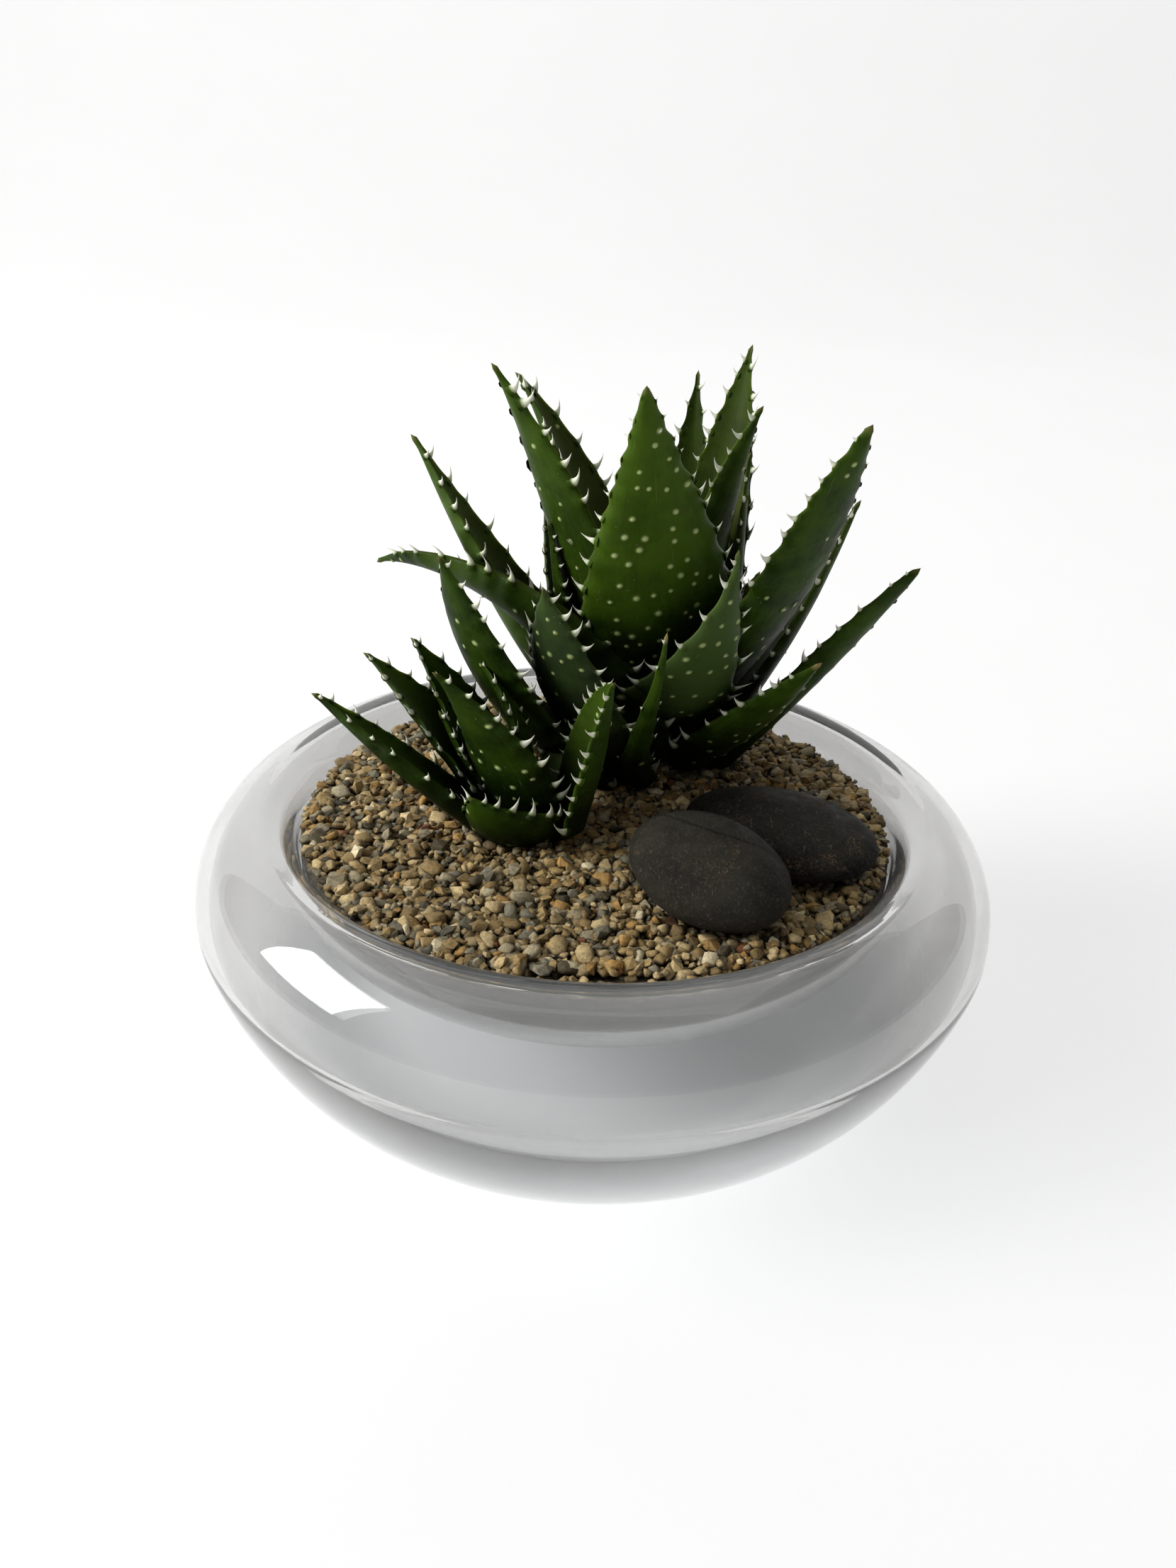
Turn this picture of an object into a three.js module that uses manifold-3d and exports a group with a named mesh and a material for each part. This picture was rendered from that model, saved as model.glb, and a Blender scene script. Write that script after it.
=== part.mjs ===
// Potted spider aloe: a toothed rosette and a small offset, with gravel and two
// pebbles, in a double-walled glass bowl. Millimetres, +Z up, the origin on the
// bowl's axis at the foot, and the front of the plant towards -Y.
import * as THREE from "three";
import { mergeVertices } from "three/addons/utils/BufferGeometryUtils.js";
import Module from "manifold-3d";

const wasm = await Module();
wasm.setup();

// Bowl
const BOWL_R = 100;
const FOOT_R = 57;
const RIM_R = 82.7;
const RIM_Z = 70.5;
const WIDEST_Z = 48;
const WELL_R = 74.5;
const WELL_Z = 59.4;
const WELL_DEPTH = 30;
const WELL_WALL = 3.2;
const FLOOR = 5.6;
const VENT_R = 2;
const ROUND = 36;
const WELL_STEPS = 5;

// Filling
const GAP = 0.3;
const GRAVEL_Z = 64.6;
const GRAVEL_BOTTOM = 58.6;
const GRAIN_ROWS = 28;
const GRAIN_LIFT = 1.1;

// Stems
const MAIN = { x: 18, y: 32, foot: 48, top: 94, r0: 7, r1: 3.6 };
const PUP = { x: -16, y: -11, foot: 52, top: 76, r0: 5, r1: 2 };
const LEAF_FLOOR = 65;

// Pebbles: centre, half axes, turn, pitch and lean
const PEBBLES = [
  { name: "pebble_front", at: [25.4, -43.5, 74], half: [19.9, 14.7, 9.1], turn: [-39, 8, 13] },
  { name: "pebble_back", at: [44.1, -19.8, 70.9], half: [24.1, 17.2, 7], turn: [-27, 0, 4] },
];

// One row a leaf, the inner ones first. az: which way it points, in degrees from
// +X. rise: its slope at the base and at the tip. bend: how far it turns
// sideways. len, half, thick: length, half width, thickness. out, up: where it
// leaves the stem. roll: turn about its own length. wide: where it is widest.
// taper, full: how fast it narrows and how full its flanks are. cup: how deep
// its inner face is. base: width at the base.
const LEAVES = [
  { n: "leaf_01", az: 15, rise: [82, 84], bend: 0, len: 46, half: 4.5, thick: 3, out: 2.4, up: 91, roll: 0 },
  { n: "leaf_02", az: 190, rise: [82, 80], bend: 0, len: 50, half: 5, thick: 3, out: 2.4, up: 89, roll: 0 },
  { n: "leaf_27", az: 105, rise: [84, 80], bend: 0, len: 38, half: 4.5, thick: 3, out: 2.4, up: 91, roll: 0 },
  { n: "leaf_03", az: -106, rise: [71, 60], bend: 5, len: 90, half: 18.2, thick: 6.5, out: 8.8, up: 89, roll: 26,
    wide: 0.365, taper: 1.45, full: 0.9, cup: 0.15, blunt: 7 },
  { n: "leaf_05", az: 51.2, rise: [82, 74], bend: -0.4, len: 96, half: 11.9, thick: 6, out: 7.1, up: 77.9, roll: 0.3 },
  { n: "leaf_06", az: -92, rise: [20, 90], bend: 63, len: 66, half: 13, thick: 5.5, out: 5, up: 84, roll: -9,
    wide: 0.24, taper: 1.42, full: 1.42, cup: 0.03, base: 1 },
  { n: "leaf_07", az: -24.7, rise: [99.3, 59.7], bend: -25.3, len: 90, half: 11.4, thick: 5.8, out: 5.9, up: 76,
    roll: 4.8, taper: 1.155, full: 1.03, cup: 0.23 },
  { n: "leaf_08", az: 201, rise: [84, 56], bend: 0.6, len: 104.6, half: 14.2, thick: 4.6, out: 12.8, up: 73.2,
    roll: 12, wide: 0.29, cup: 0.2 },
  { n: "leaf_09", az: 152, rise: [88, 42], bend: -1, len: 101, half: 14.5, thick: 6, out: 7, up: 74, roll: 8,
    wide: 0.26, taper: 1.13, full: 1.13, cup: 0.4 },
  { n: "leaf_04", az: 199, rise: [76, 79], bend: 0, len: 62.5, half: 5, thick: 3, out: 20, up: 72, roll: -3, base: 0.9 },
  { n: "leaf_10", az: 14, rise: [91, 79], bend: 0, len: 76, half: 9.5, thick: 5.5, out: 11, up: 73, roll: 0, cup: 0.28 },
  { n: "leaf_11", az: 84, rise: [64, 76], bend: -4, len: 95, half: 8, thick: 5, out: 10, up: 73, roll: 0, taper: 1.09,
    full: 1.09 },
  { n: "leaf_12", az: -36.8, rise: [53, 66.4], bend: -20, len: 100, half: 12.6, thick: 5.4, out: 3.2, up: 77.5,
    roll: -1.7, wide: 0.375, taper: 1, full: 0.94, cup: 0.07, blunt: 3 },
  { n: "leaf_13", az: 206, rise: [88, -25], bend: -62, len: 103, half: 17, thick: 6, out: 10, up: 70, roll: 21,
    wide: 0.24, taper: 1.3, full: 1.3, cup: 0.4, base: 0.9 },
  { n: "leaf_14", az: 125, rise: [60, 52], bend: 0, len: 80, half: 11, thick: 5, out: 9, up: 72, roll: 0 },
  { n: "leaf_15", az: 176, rise: [49, 57], bend: 5, len: 98, half: 12, thick: 6, out: 8, up: 72, roll: -4, wide: 0.24,
    taper: 1.23, full: 1.23, cup: 0.5 },
  { n: "leaf_16", az: 2, rise: [54, 67], bend: 0, len: 76, half: 8, thick: 4.8, out: 8, up: 72, roll: 0, cup: 0.28 },
  { n: "leaf_17", az: 148, rise: [48, 81], bend: 0, len: 68, half: 7.5, thick: 4, out: 12, up: 70, roll: -3, base: 0.9 },
  { n: "leaf_18", az: 50, rise: [50, 55], bend: 0, len: 50, half: 10, thick: 5, out: 10, up: 70, roll: 0 },
  { n: "leaf_19", az: -130, rise: [41, 72], bend: 7, len: 69, half: 12.5, thick: 6, out: 14, up: 69, roll: -2,
    wide: 0.4, taper: 1.05, full: 1.05, cup: 0.15, base: 0.75 },
  { n: "leaf_20", az: 72, rise: [42, 48], bend: 0, len: 72, half: 11, thick: 5, out: 11, up: 68, roll: 0 },
  { n: "leaf_21", az: -48, rise: [41, 45], bend: 1, len: 57, half: 10.5, thick: 4.7, out: 8, up: 70, roll: -6,
    wide: 0.35, cup: 0.23 },
  { n: "leaf_22", az: -16, rise: [51.6, 53.4], bend: -1, len: 77.3, half: 6.3, thick: 3.9, out: 13.4, up: 65.4,
    roll: -35, taper: 0.7, full: 0.85, cup: 0.12, blunt: 2 },
  { n: "leaf_23", az: 206, rise: [38, 65], bend: 26, len: 86, half: 17, thick: 6.5, out: 15, up: 65, roll: -10,
    wide: 0.36, cup: 0.26 },
  { n: "leaf_24", az: 138, rise: [42, 48], bend: 0, len: 46, half: 9, thick: 5, out: 12, up: 67, roll: 0 },
  { n: "leaf_25", az: 110, rise: [30, 40], bend: 0, len: 60, half: 10, thick: 5, out: 13, up: 67, roll: 0 },
  { n: "leaf_26", az: -109.8, rise: [33.8, 87], bend: 70, len: 58.8, half: 4.5, thick: 3, out: 18.2, up: 67.6,
    roll: 2, wide: 0.06, taper: 0.9, full: 0.2, cup: 0.21, base: 1 },
];

const PUP_LEAVES = [
  { n: "pup_leaf_01", az: 177, rise: [59, 61], bend: 2, len: 31, half: 3, thick: 2.6, out: 6, up: 68, roll: 3, base: 0.9 },
  { n: "pup_leaf_02", az: 148, rise: [105, 28], bend: 0, len: 47, half: 3.2, thick: 3.2, out: 1, up: 68, roll: 20,
    cup: 0.35, base: 0.9 },
  { n: "pup_leaf_03", az: -131, rise: [73, 46], bend: -20, len: 51, half: 11.5, thick: 5.5, out: 0, up: 68, roll: 13,
    wide: 0.28, taper: 1.19, full: 1.19, cup: 0.15, base: 0.88 },
  { n: "pup_leaf_04", az: 152, rise: [64, 42], bend: 4, len: 49, half: 8, thick: 4.6, out: 4, up: 69, roll: -1, base: 0.9 },
  { n: "pup_leaf_05", az: -41.5, rise: [81, 55], bend: -8, len: 46, half: 9.6, thick: 4, out: 8.8, up: 69.2, roll: 52,
    wide: 0.45, taper: 1.04, full: 0.9, cup: 0.44, base: 0.72 },
  { n: "pup_leaf_06", az: 162, rise: [52, 33], bend: 3, len: 53, half: 8, thick: 4.6, out: 4, up: 69, roll: 0, base: 0.9 },
  { n: "pup_leaf_07", az: 55, rise: [62, 62], bend: 0, len: 26, half: 6, thick: 3, out: 5, up: 67, roll: 0 },
  { n: "pup_leaf_08", az: 188, rise: [41, 36], bend: -4, len: 55, half: 6.5, thick: 4.2, out: 7, up: 67, roll: 7,
    wide: 0.35, taper: 1, full: 1, cup: 0.45, base: 0.9 },
  { n: "pup_leaf_09", az: -112, rise: [8, 48], bend: -33, len: 28, half: 13, thick: 3.3, out: -4, up: 68, roll: 20,
    wide: 0.29, taper: 1.14, full: 1.14, cup: 0.44, base: 0.92 },
];

const LEAF_STEPS = 8;
const LEAF_SIDES = 8;
const FLAT_AT = 0.5;
const INNER_FLAT = 0.88;
const BACK_FLAT = 0.95;
const TIP_HALF = 0.5;
const TIP_THICK = 0.8;
const TOOTH_SIDES = 3;
const TOOTH_GAP = 9.2;
const TOOTH_ROOT = 0.9;
const FINE = 0.08;

// A seeded random draw, the same in every run.
function seeded(seed) {
  let state = seed;
  return () => {
    state = (state * 16807) % 2147483647;
    return state / 2147483647;
  };
}

const rad = (degrees) => (degrees * Math.PI) / 180;

// A three.js geometry as a solid, with its corners merged and flat faces dropped.
function solidOf(geometry, matrix) {
  const plain = new THREE.BufferGeometry();
  plain.setAttribute("position", geometry.getAttribute("position").clone());
  plain.setIndex(geometry.getIndex());
  if (matrix) {
    plain.applyMatrix4(matrix);
  }
  const merged = mergeVertices(plain, 1e-4);
  const kept = [];
  const index = merged.getIndex().array;
  for (let i = 0; i < index.length; i += 3) {
    const [a, b, c] = [index[i], index[i + 1], index[i + 2]];
    if (a !== b && b !== c && c !== a) {
      kept.push(a, b, c);
    }
  }
  const make = (triangles) =>
    new wasm.Manifold(
      new wasm.Mesh({
        numProp: 3,
        vertProperties: new Float32Array(merged.attributes.position.array),
        triVerts: new Uint32Array(triangles),
      }),
    );
  const solid = make(kept);
  if (solid.volume() >= 0) {
    return solid;
  }
  for (let i = 0; i < kept.length; i += 3) {
    [kept[i + 1], kept[i + 2]] = [kept[i + 2], kept[i + 1]];
  }
  return make(kept);
}

function largest(solid) {
  const bodies = solid.decompose();
  bodies.sort((a, b) => b.volume() - a.volume());
  return bodies[0];
}

function meshOf(solid, name, material) {
  const made = solid.getMesh();
  const geometry = new THREE.BufferGeometry();
  const points = new Float32Array((made.vertProperties.length / made.numProp) * 3);
  for (let i = 0; i < points.length / 3; i += 1) {
    for (let k = 0; k < 3; k += 1) {
      points[3 * i + k] = made.vertProperties[made.numProp * i + k];
    }
  }
  geometry.setAttribute("position", new THREE.BufferAttribute(points, 3));
  geometry.setIndex(new THREE.BufferAttribute(new Uint32Array(made.triVerts), 1));
  const flat = geometry.toNonIndexed();
  flat.computeVertexNormals();
  const mesh = new THREE.Mesh(flat, material);
  mesh.name = name;
  return mesh;
}

// Points of a cubic curve in the (radius, height) plane, without its first point.
function curve(a, b, c, d, steps) {
  const bezier = new THREE.CubicBezierCurve(
    new THREE.Vector2(...a),
    new THREE.Vector2(...b),
    new THREE.Vector2(...c),
    new THREE.Vector2(...d),
  );
  return bezier.getPoints(steps).slice(1);
}

// Inner side of the well, from its mouth to its middle, moved out by grow.
function wellLine(grow, steps) {
  const points = [];
  for (let i = 0; i <= steps; i += 1) {
    const t = (Math.PI * i) / (2 * steps);
    const r = i === steps ? 0 : (WELL_R + grow) * Math.cos(t);
    points.push(new THREE.Vector2(r, WELL_Z - (WELL_DEPTH + grow) * Math.sin(t)));
  }
  return points;
}

function lathe(points) {
  return solidOf(new THREE.LatheGeometry(points, ROUND), new THREE.Matrix4().makeRotationX(Math.PI / 2));
}

function cylinder(r0, r1, z0, z1, x = 0, y = 0, sides = 24) {
  const matrix = new THREE.Matrix4()
    .makeTranslation(x, y, (z0 + z1) / 2)
    .multiply(new THREE.Matrix4().makeRotationX(Math.PI / 2));
  return solidOf(new THREE.CylinderGeometry(r1, r0, z1 - z0, sides), matrix);
}

function bowlSolid() {
  const skin = [
    new THREE.Vector2(0, 0),
    new THREE.Vector2(FOOT_R, 0),
    ...curve([FOOT_R, 0], [87, 0], [BOWL_R, 44], [BOWL_R, WIDEST_Z], 6),
    ...curve([BOWL_R, WIDEST_Z], [BOWL_R, 65.7], [85, RIM_Z], [RIM_R, RIM_Z], 5),
    ...curve([RIM_R, RIM_Z], [79.3, RIM_Z], [WELL_R, 65], [WELL_R, WELL_Z], 3),
    ...wellLine(0, WELL_STEPS).slice(1),
  ];
  const hollow = [
    new THREE.Vector2(0, FLOOR),
    new THREE.Vector2(52, FLOOR + 0.3),
    ...curve([52, FLOOR + 0.3], [83, 7], [96.6, 43], [96.8, WIDEST_Z], 4),
    ...curve([96.8, WIDEST_Z], [96.8, 62.5], [85, 67.2], [82.6, 67.2], 3),
    ...curve([82.6, 67.2], [80.2, 67.2], [WELL_R + WELL_WALL, 63.5], [WELL_R + WELL_WALL, WELL_Z], 2),
    ...wellLine(WELL_WALL, WELL_STEPS).slice(1),
  ];
  return lathe(skin)
    .subtract(lathe(hollow))
    .subtract(cylinder(VENT_R, VENT_R, -1, FLOOR + 3, 0, 0, 12));
}

// Filling of the well between two heights.
function fillSolid(bottom, top) {
  const core = lathe([
    new THREE.Vector2(0, RIM_Z),
    new THREE.Vector2(WELL_R - GAP, RIM_Z),
    ...wellLine(-GAP, WELL_STEPS),
  ]);
  return core.intersect(cylinder(BOWL_R, BOWL_R, bottom, top));
}

function profile(leaf, s) {
  const wide = leaf.wide ?? 0.3;
  const base = leaf.base ?? 0.8;
  const taper = leaf.taper ?? 1.11;
  const full = leaf.full ?? 1.11;
  if (s < wide) {
    return base + (1 - base) * Math.sin(((s / wide) * Math.PI) / 2);
  }
  const x = (s - wide) / (1 - wide);
  return Math.pow(1 - x, taper) * (1 + full * x);
}

// Middle line of a leaf and its cross directions at s = 0 to 1.
function station(leaf, stem, s) {
  const parts = 40;
  const start = rad(leaf.az);
  const at = new THREE.Vector3(stem.x + leaf.out * Math.cos(start), stem.y + leaf.out * Math.sin(start), leaf.up);
  const heading = (t) => {
    const rise = rad(leaf.rise[0] + (leaf.rise[1] - leaf.rise[0]) * t);
    const turn = rad(leaf.az + leaf.bend * t);
    return new THREE.Vector3(
      Math.cos(rise) * Math.cos(turn),
      Math.cos(rise) * Math.sin(turn),
      Math.sin(rise),
    );
  };
  for (let i = 0; i < parts; i += 1) {
    at.addScaledVector(heading((s * (i + 0.5)) / parts), (leaf.len * s) / parts);
  }
  const along = heading(s);
  const turn = rad(leaf.az + leaf.bend * s);
  const level = new THREE.Vector3(-Math.sin(turn), Math.cos(turn), 0);
  const inner = new THREE.Vector3().crossVectors(along, level);
  const roll = rad(leaf.roll);
  const side = level.clone().multiplyScalar(Math.cos(roll)).addScaledVector(inner, Math.sin(roll));
  const face = inner.clone().multiplyScalar(Math.cos(roll)).addScaledVector(level, -Math.sin(roll));
  const bluntness = (leaf.blunt ?? 0) * Math.pow(s, 8) * Math.sqrt(Math.max(0, 1 - s));
  const half = Math.max(leaf.half * profile(leaf, s) + bluntness, TIP_HALF);
  const thick = Math.min(TIP_THICK + (leaf.thick - TIP_THICK) * (1 - Math.pow(s, 1.3)), 1.1 * half + 0.4);
  return { at, along, side, face, half, thick: Math.max(thick, TIP_THICK), cup: (leaf.cup ?? 0.3) * half };
}

// A tube whose rings are set to the leaf's cross-sections: two corners at each
// margin, which meet in one on the leaf itself and part as it is grown, and a
// flat on the inner face and on the back.
function leafSolid(leaf, stem, grow) {
  const geometry = new THREE.CylinderGeometry(
    1, 1, 1, LEAF_SIDES, LEAF_STEPS, false, Math.PI / LEAF_SIDES,
  );
  const place = geometry.getAttribute("position");
  for (let i = 0; i < place.count; i += 1) {
    const s = place.getY(i) + 0.5;
    const ring = station(leaf, stem, s);
    const x = place.getX(i);
    const inner = place.getZ(i) > 0;
    let u = 0;
    let depth = -ring.cup - ring.thick / 2;
    if (Math.abs(x) > 0.7) {
      u = Math.sign(x);
      depth = inner ? grow : -grow;
    } else if (Math.abs(x) > 0.1) {
      u = Math.sign(x) * FLAT_AT;
      depth = inner ? -INNER_FLAT * ring.cup + grow : -BACK_FLAT * (ring.cup + ring.thick) - grow;
    }
    const point = ring.at
      .clone()
      .addScaledVector(ring.side, u * (ring.half + grow))
      .addScaledVector(ring.face, depth);
    if (grow && (s < 0.001 || s > 0.999)) {
      point.addScaledVector(ring.along, s < 0.5 ? -grow : grow);
    }
    place.setXYZ(i, point.x, point.y, point.z);
  }
  return solidOf(geometry);
}

// Teeth of one leaf: hooked forward, along both margins.
function teethOf(leaf, stem, random) {
  const spacing = TOOTH_GAP + leaf.len / 26;
  const count = Math.floor((leaf.len * 0.9) / spacing);
  const found = [];
  for (const hand of [1, -1]) {
    for (let i = 0; i < count; i += 1) {
      const s = 0.08 + (0.86 * (i + 0.3 + 0.4 * random())) / count;
      const ring = station(leaf, stem, s);
      const height = (1.5 + 0.1 * leaf.half) * (1 - 0.45 * s) * (0.85 + 0.3 * random());
      const radius = 0.3 * height + 0.25;
      const point = new THREE.Vector3()
        .addScaledVector(ring.side, hand * 0.76)
        .addScaledVector(ring.along, 0.52)
        .addScaledVector(ring.face, 0.25)
        .normalize();
      const root = ring.at
        .clone()
        .addScaledVector(ring.side, hand * ring.half)
        .addScaledVector(ring.face, -0.12 * ring.thick);
      found.push({ s, root, point, height, radius });
    }
  }
  return found;
}

function toothSolid(tooth, grow) {
  const height = tooth.height + TOOTH_ROOT + 2 * grow;
  const cone = new THREE.ConeGeometry(tooth.radius + grow, height, TOOTH_SIDES);
  const middle = tooth.root.clone().addScaledVector(tooth.point, height / 2 - TOOTH_ROOT);
  const turn = new THREE.Quaternion().setFromUnitVectors(new THREE.Vector3(0, 1, 0), tooth.point);
  const matrix = new THREE.Matrix4().compose(middle, turn, new THREE.Vector3(1, 1, 1));
  return solidOf(cone, matrix);
}

function pebbleSolid(pebble, grow) {
  const turn = new THREE.Euler(rad(pebble.turn[2]), rad(pebble.turn[1]), rad(pebble.turn[0]), "ZYX");
  const size = new THREE.Vector3(...pebble.half).addScalar(grow);
  const matrix = new THREE.Matrix4().compose(
    new THREE.Vector3(...pebble.at),
    new THREE.Quaternion().setFromEuler(turn),
    size,
  );
  return solidOf(new THREE.SphereGeometry(1, 18, 10), matrix);
}

const glass = new THREE.MeshStandardMaterial({ color: 0xdfe6e4, roughness: 0.05, metalness: 0 });
glass.transparent = true;
glass.opacity = 0.35;
const gravelLook = new THREE.MeshStandardMaterial({ color: 0x9a835e, roughness: 0.85, metalness: 0 });
const substrateLook = new THREE.MeshStandardMaterial({ color: 0x77736a, roughness: 0.95, metalness: 0 });
const pebbleLook = new THREE.MeshStandardMaterial({ color: 0x2a2927, roughness: 0.7, metalness: 0 });
const stemLook = new THREE.MeshStandardMaterial({ color: 0x56603a, roughness: 0.8, metalness: 0 });
const leafLook = new THREE.MeshStandardMaterial({ color: 0x2c5a20, roughness: 0.45, metalness: 0 });
const pupLook = new THREE.MeshStandardMaterial({ color: 0x30621f, roughness: 0.45, metalness: 0 });

const root = new THREE.Group();
root.name = "potted_spider_aloe";
const taken = [];

// Stems first, then the leaves from the inside out: each is cut back from those
// that are already there, and loses any tooth that would run into another leaf.
const stems = [
  { name: "main_stem", row: MAIN },
  { name: "pup_stem", row: PUP },
];
for (const stem of stems) {
  const { x, y, foot, top, r0, r1 } = stem.row;
  const solid = cylinder(r0, r1, foot, top, x, y, 12);
  root.add(meshOf(solid, stem.name, stemLook));
  taken.push(cylinder(r0 + GAP, r1 + GAP, foot - GAP, top + GAP, x, y, 12));
}

const rows = [
  ...LEAVES.map((leaf) => ({ leaf, stem: MAIN, look: leafLook })),
  ...PUP_LEAVES.map((leaf) => ({ leaf, stem: PUP, look: pupLook })),
];
const plain = rows.map((row) => leafSolid(row.leaf, row.stem, 0));
const grown = rows.map((row) => leafSolid(row.leaf, row.stem, GAP));
const pebbleGrown = PEBBLES.map((pebble) => pebbleSolid(pebble, GAP));
const above = cylinder(150, 150, LEAF_FLOOR, 300);
const leafSolids = [];
const teethPlaced = [];

rows.forEach((row, i) => {
  let body = plain[i].intersect(above);
  for (const other of taken) {
    body = body.subtract(other);
  }
  for (let k = 0; k < i; k += 1) {
    body = body.subtract(grown[k]);
  }
  row.body = largest(body);
});

rows.forEach((row, i) => {
  const random = seeded(1000 + 37 * i);
  const teeth = [];
  for (const tooth of teethOf(row.leaf, row.stem, random)) {
    const cone = toothSolid(tooth, 0);
    const wider = toothSolid(tooth, GAP);
    const end = tooth.root.clone().addScaledVector(tooth.point, tooth.height);
    const clash =
      end.z < LEAF_FLOOR + 1 ||
      rows.some((other, k) => k !== i && !wider.intersect(other.body).isEmpty()) ||
      taken.some((other) => !wider.intersect(other).isEmpty()) ||
      pebbleGrown.some((other) => !wider.intersect(other).isEmpty()) ||
      teethPlaced.some((other) => other.leaf !== i && other.root.distanceTo(tooth.root) < other.height + tooth.height + 1);
    const rooted = cone.intersect(row.body).volume() > 0.25 * cone.volume() * 0.3;
    if (!clash && rooted) {
      teeth.push(cone);
      teethPlaced.push({ leaf: i, root: tooth.root, height: tooth.height });
    }
  }
  row.solid = largest(wasm.Manifold.union([row.body, ...teeth]).simplify(FINE));
  leafSolids.push(row.solid);
  root.add(meshOf(row.solid, row.leaf.n, row.look));
});

const foliage = wasm.Manifold.union(grown);
for (const pebble of PEBBLES) {
  root.add(meshOf(pebbleSolid(pebble, 0), pebble.name, pebbleLook));
}

// Gravel: a bed whose top is raised into larger-than-life grains, level where
// a leaf or a pebble lies on it.
function gravelSolid() {
  const random = seeded(77);
  const blocked = wasm.Manifold.union([foliage, ...pebbleGrown, ...taken]);
  const size = 2 * WELL_R + 4;
  const cell = size / GRAIN_ROWS;
  const middle = (GRAVEL_BOTTOM + GRAVEL_Z) / 2;
  const slab = new THREE.BoxGeometry(size, size, GRAVEL_Z - GRAVEL_BOTTOM, GRAIN_ROWS, GRAIN_ROWS, 1);
  const place = slab.getAttribute("position");
  const heights = new Map();
  for (let i = 0; i < place.count; i += 1) {
    const column = Math.round(place.getX(i) / cell + GRAIN_ROWS / 2);
    const line = Math.round(place.getY(i) / cell + GRAIN_ROWS / 2);
    let z = place.getZ(i) + middle;
    if (place.getZ(i) > 0) {
      const key = column + "," + line;
      if (!heights.has(key)) {
        const raised = (column + line) % 2 === 0;
        const lift = raised ? GRAIN_LIFT * (0.6 + 0.8 * random()) : -GRAIN_LIFT * 0.5 * random();
        const around = new THREE.BoxGeometry(2.3 * cell, 2.3 * cell, 3);
        const shift = new THREE.Matrix4().makeTranslation(place.getX(i), place.getY(i), GRAVEL_Z + 1.5);
        const free = solidOf(around, shift).intersect(blocked).isEmpty();
        heights.set(key, free ? lift : Math.min(lift, 0));
      }
      z += heights.get(key);
    }
    place.setZ(i, z);
  }
  const core = fillSolid(GRAVEL_BOTTOM, GRAVEL_Z + 4);
  const bed = solidOf(slab).intersect(core);
  return largest(bed.subtract(wasm.Manifold.union([...pebbleGrown, ...taken])).simplify(FINE));
}
root.add(meshOf(gravelSolid(), "gravel", gravelLook));

const stemHoles = wasm.Manifold.union(taken);
root.add(meshOf(fillSolid(-1, GRAVEL_BOTTOM - GAP).subtract(stemHoles), "substrate", substrateLook));
root.add(meshOf(bowlSolid(), "glass_bowl", glass));

export default root;
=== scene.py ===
"""Potted spider aloe: a toothed rosette and its offset, with gravel and two
pebbles, in a double-walled glass bowl. Metres, +Z up, the plant's front
towards -Y. The tables are in millimetres."""
import math
import random

import bmesh
import bpy
from mathutils import Euler, Matrix, Vector, noise
from mathutils.geometry import interpolate_bezier


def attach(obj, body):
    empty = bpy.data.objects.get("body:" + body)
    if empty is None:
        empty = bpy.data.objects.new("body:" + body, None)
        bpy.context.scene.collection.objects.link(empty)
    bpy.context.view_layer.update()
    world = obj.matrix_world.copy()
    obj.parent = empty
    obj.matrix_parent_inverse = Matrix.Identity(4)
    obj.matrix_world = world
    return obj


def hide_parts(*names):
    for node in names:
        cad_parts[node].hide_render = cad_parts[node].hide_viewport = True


MM = 0.001

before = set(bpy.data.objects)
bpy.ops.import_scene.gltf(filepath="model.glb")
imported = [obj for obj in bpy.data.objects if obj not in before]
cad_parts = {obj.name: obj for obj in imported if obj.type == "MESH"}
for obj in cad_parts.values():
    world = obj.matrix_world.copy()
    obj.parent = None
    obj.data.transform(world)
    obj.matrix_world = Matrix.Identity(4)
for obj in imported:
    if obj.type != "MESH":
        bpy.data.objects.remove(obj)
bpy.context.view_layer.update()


# ---------------------------------------------------------------- camera
PHOTO_SIZE = (1659, 2212)
FOCAL_PIXELS = 1659
AIM_PIXEL = (841.6, 1299.4)
AIM = Vector((0, 0, 0.030))
CAMERA_AWAY = 0.320
CAMERA_RISE = math.radians(33.9)
CAMERA_ROLL = math.radians(2.25)


def photo_camera():
    data = bpy.data.cameras.new("photo_camera")
    data.sensor_width = 36
    data.lens = 36 * FOCAL_PIXELS / PHOTO_SIZE[1]
    data.clip_start = 0.01
    back = Vector((0, -math.cos(CAMERA_RISE), math.sin(CAMERA_RISE)))
    ahead = -back
    right = Vector((1, 0, 0))
    up = right.cross(ahead)
    tip = math.atan2(AIM_PIXEL[1] - PHOTO_SIZE[1] / 2, FOCAL_PIXELS)
    turn = math.atan2(AIM_PIXEL[0] - PHOTO_SIZE[0] / 2, FOCAL_PIXELS)
    ahead, up = (
        ahead * math.cos(tip) + up * math.sin(tip),
        up * math.cos(tip) - ahead * math.sin(tip),
    )
    ahead, right = (
        ahead * math.cos(turn) - right * math.sin(turn),
        right * math.cos(turn) + ahead * math.sin(turn),
    )
    right, up = (
        right * math.cos(CAMERA_ROLL) + up * math.sin(CAMERA_ROLL),
        up * math.cos(CAMERA_ROLL) - right * math.sin(CAMERA_ROLL),
    )
    camera = bpy.data.objects.new("photo_camera", data)
    place = Matrix((right, up, -ahead)).transposed().to_4x4()
    place.translation = AIM + back * CAMERA_AWAY
    camera.matrix_world = place
    bpy.context.scene.collection.objects.link(camera)
    bpy.context.scene.camera = camera


photo_camera()


# ---------------------------------------------------------------- node trees
NOOK_SAMPLES = 5


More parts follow.
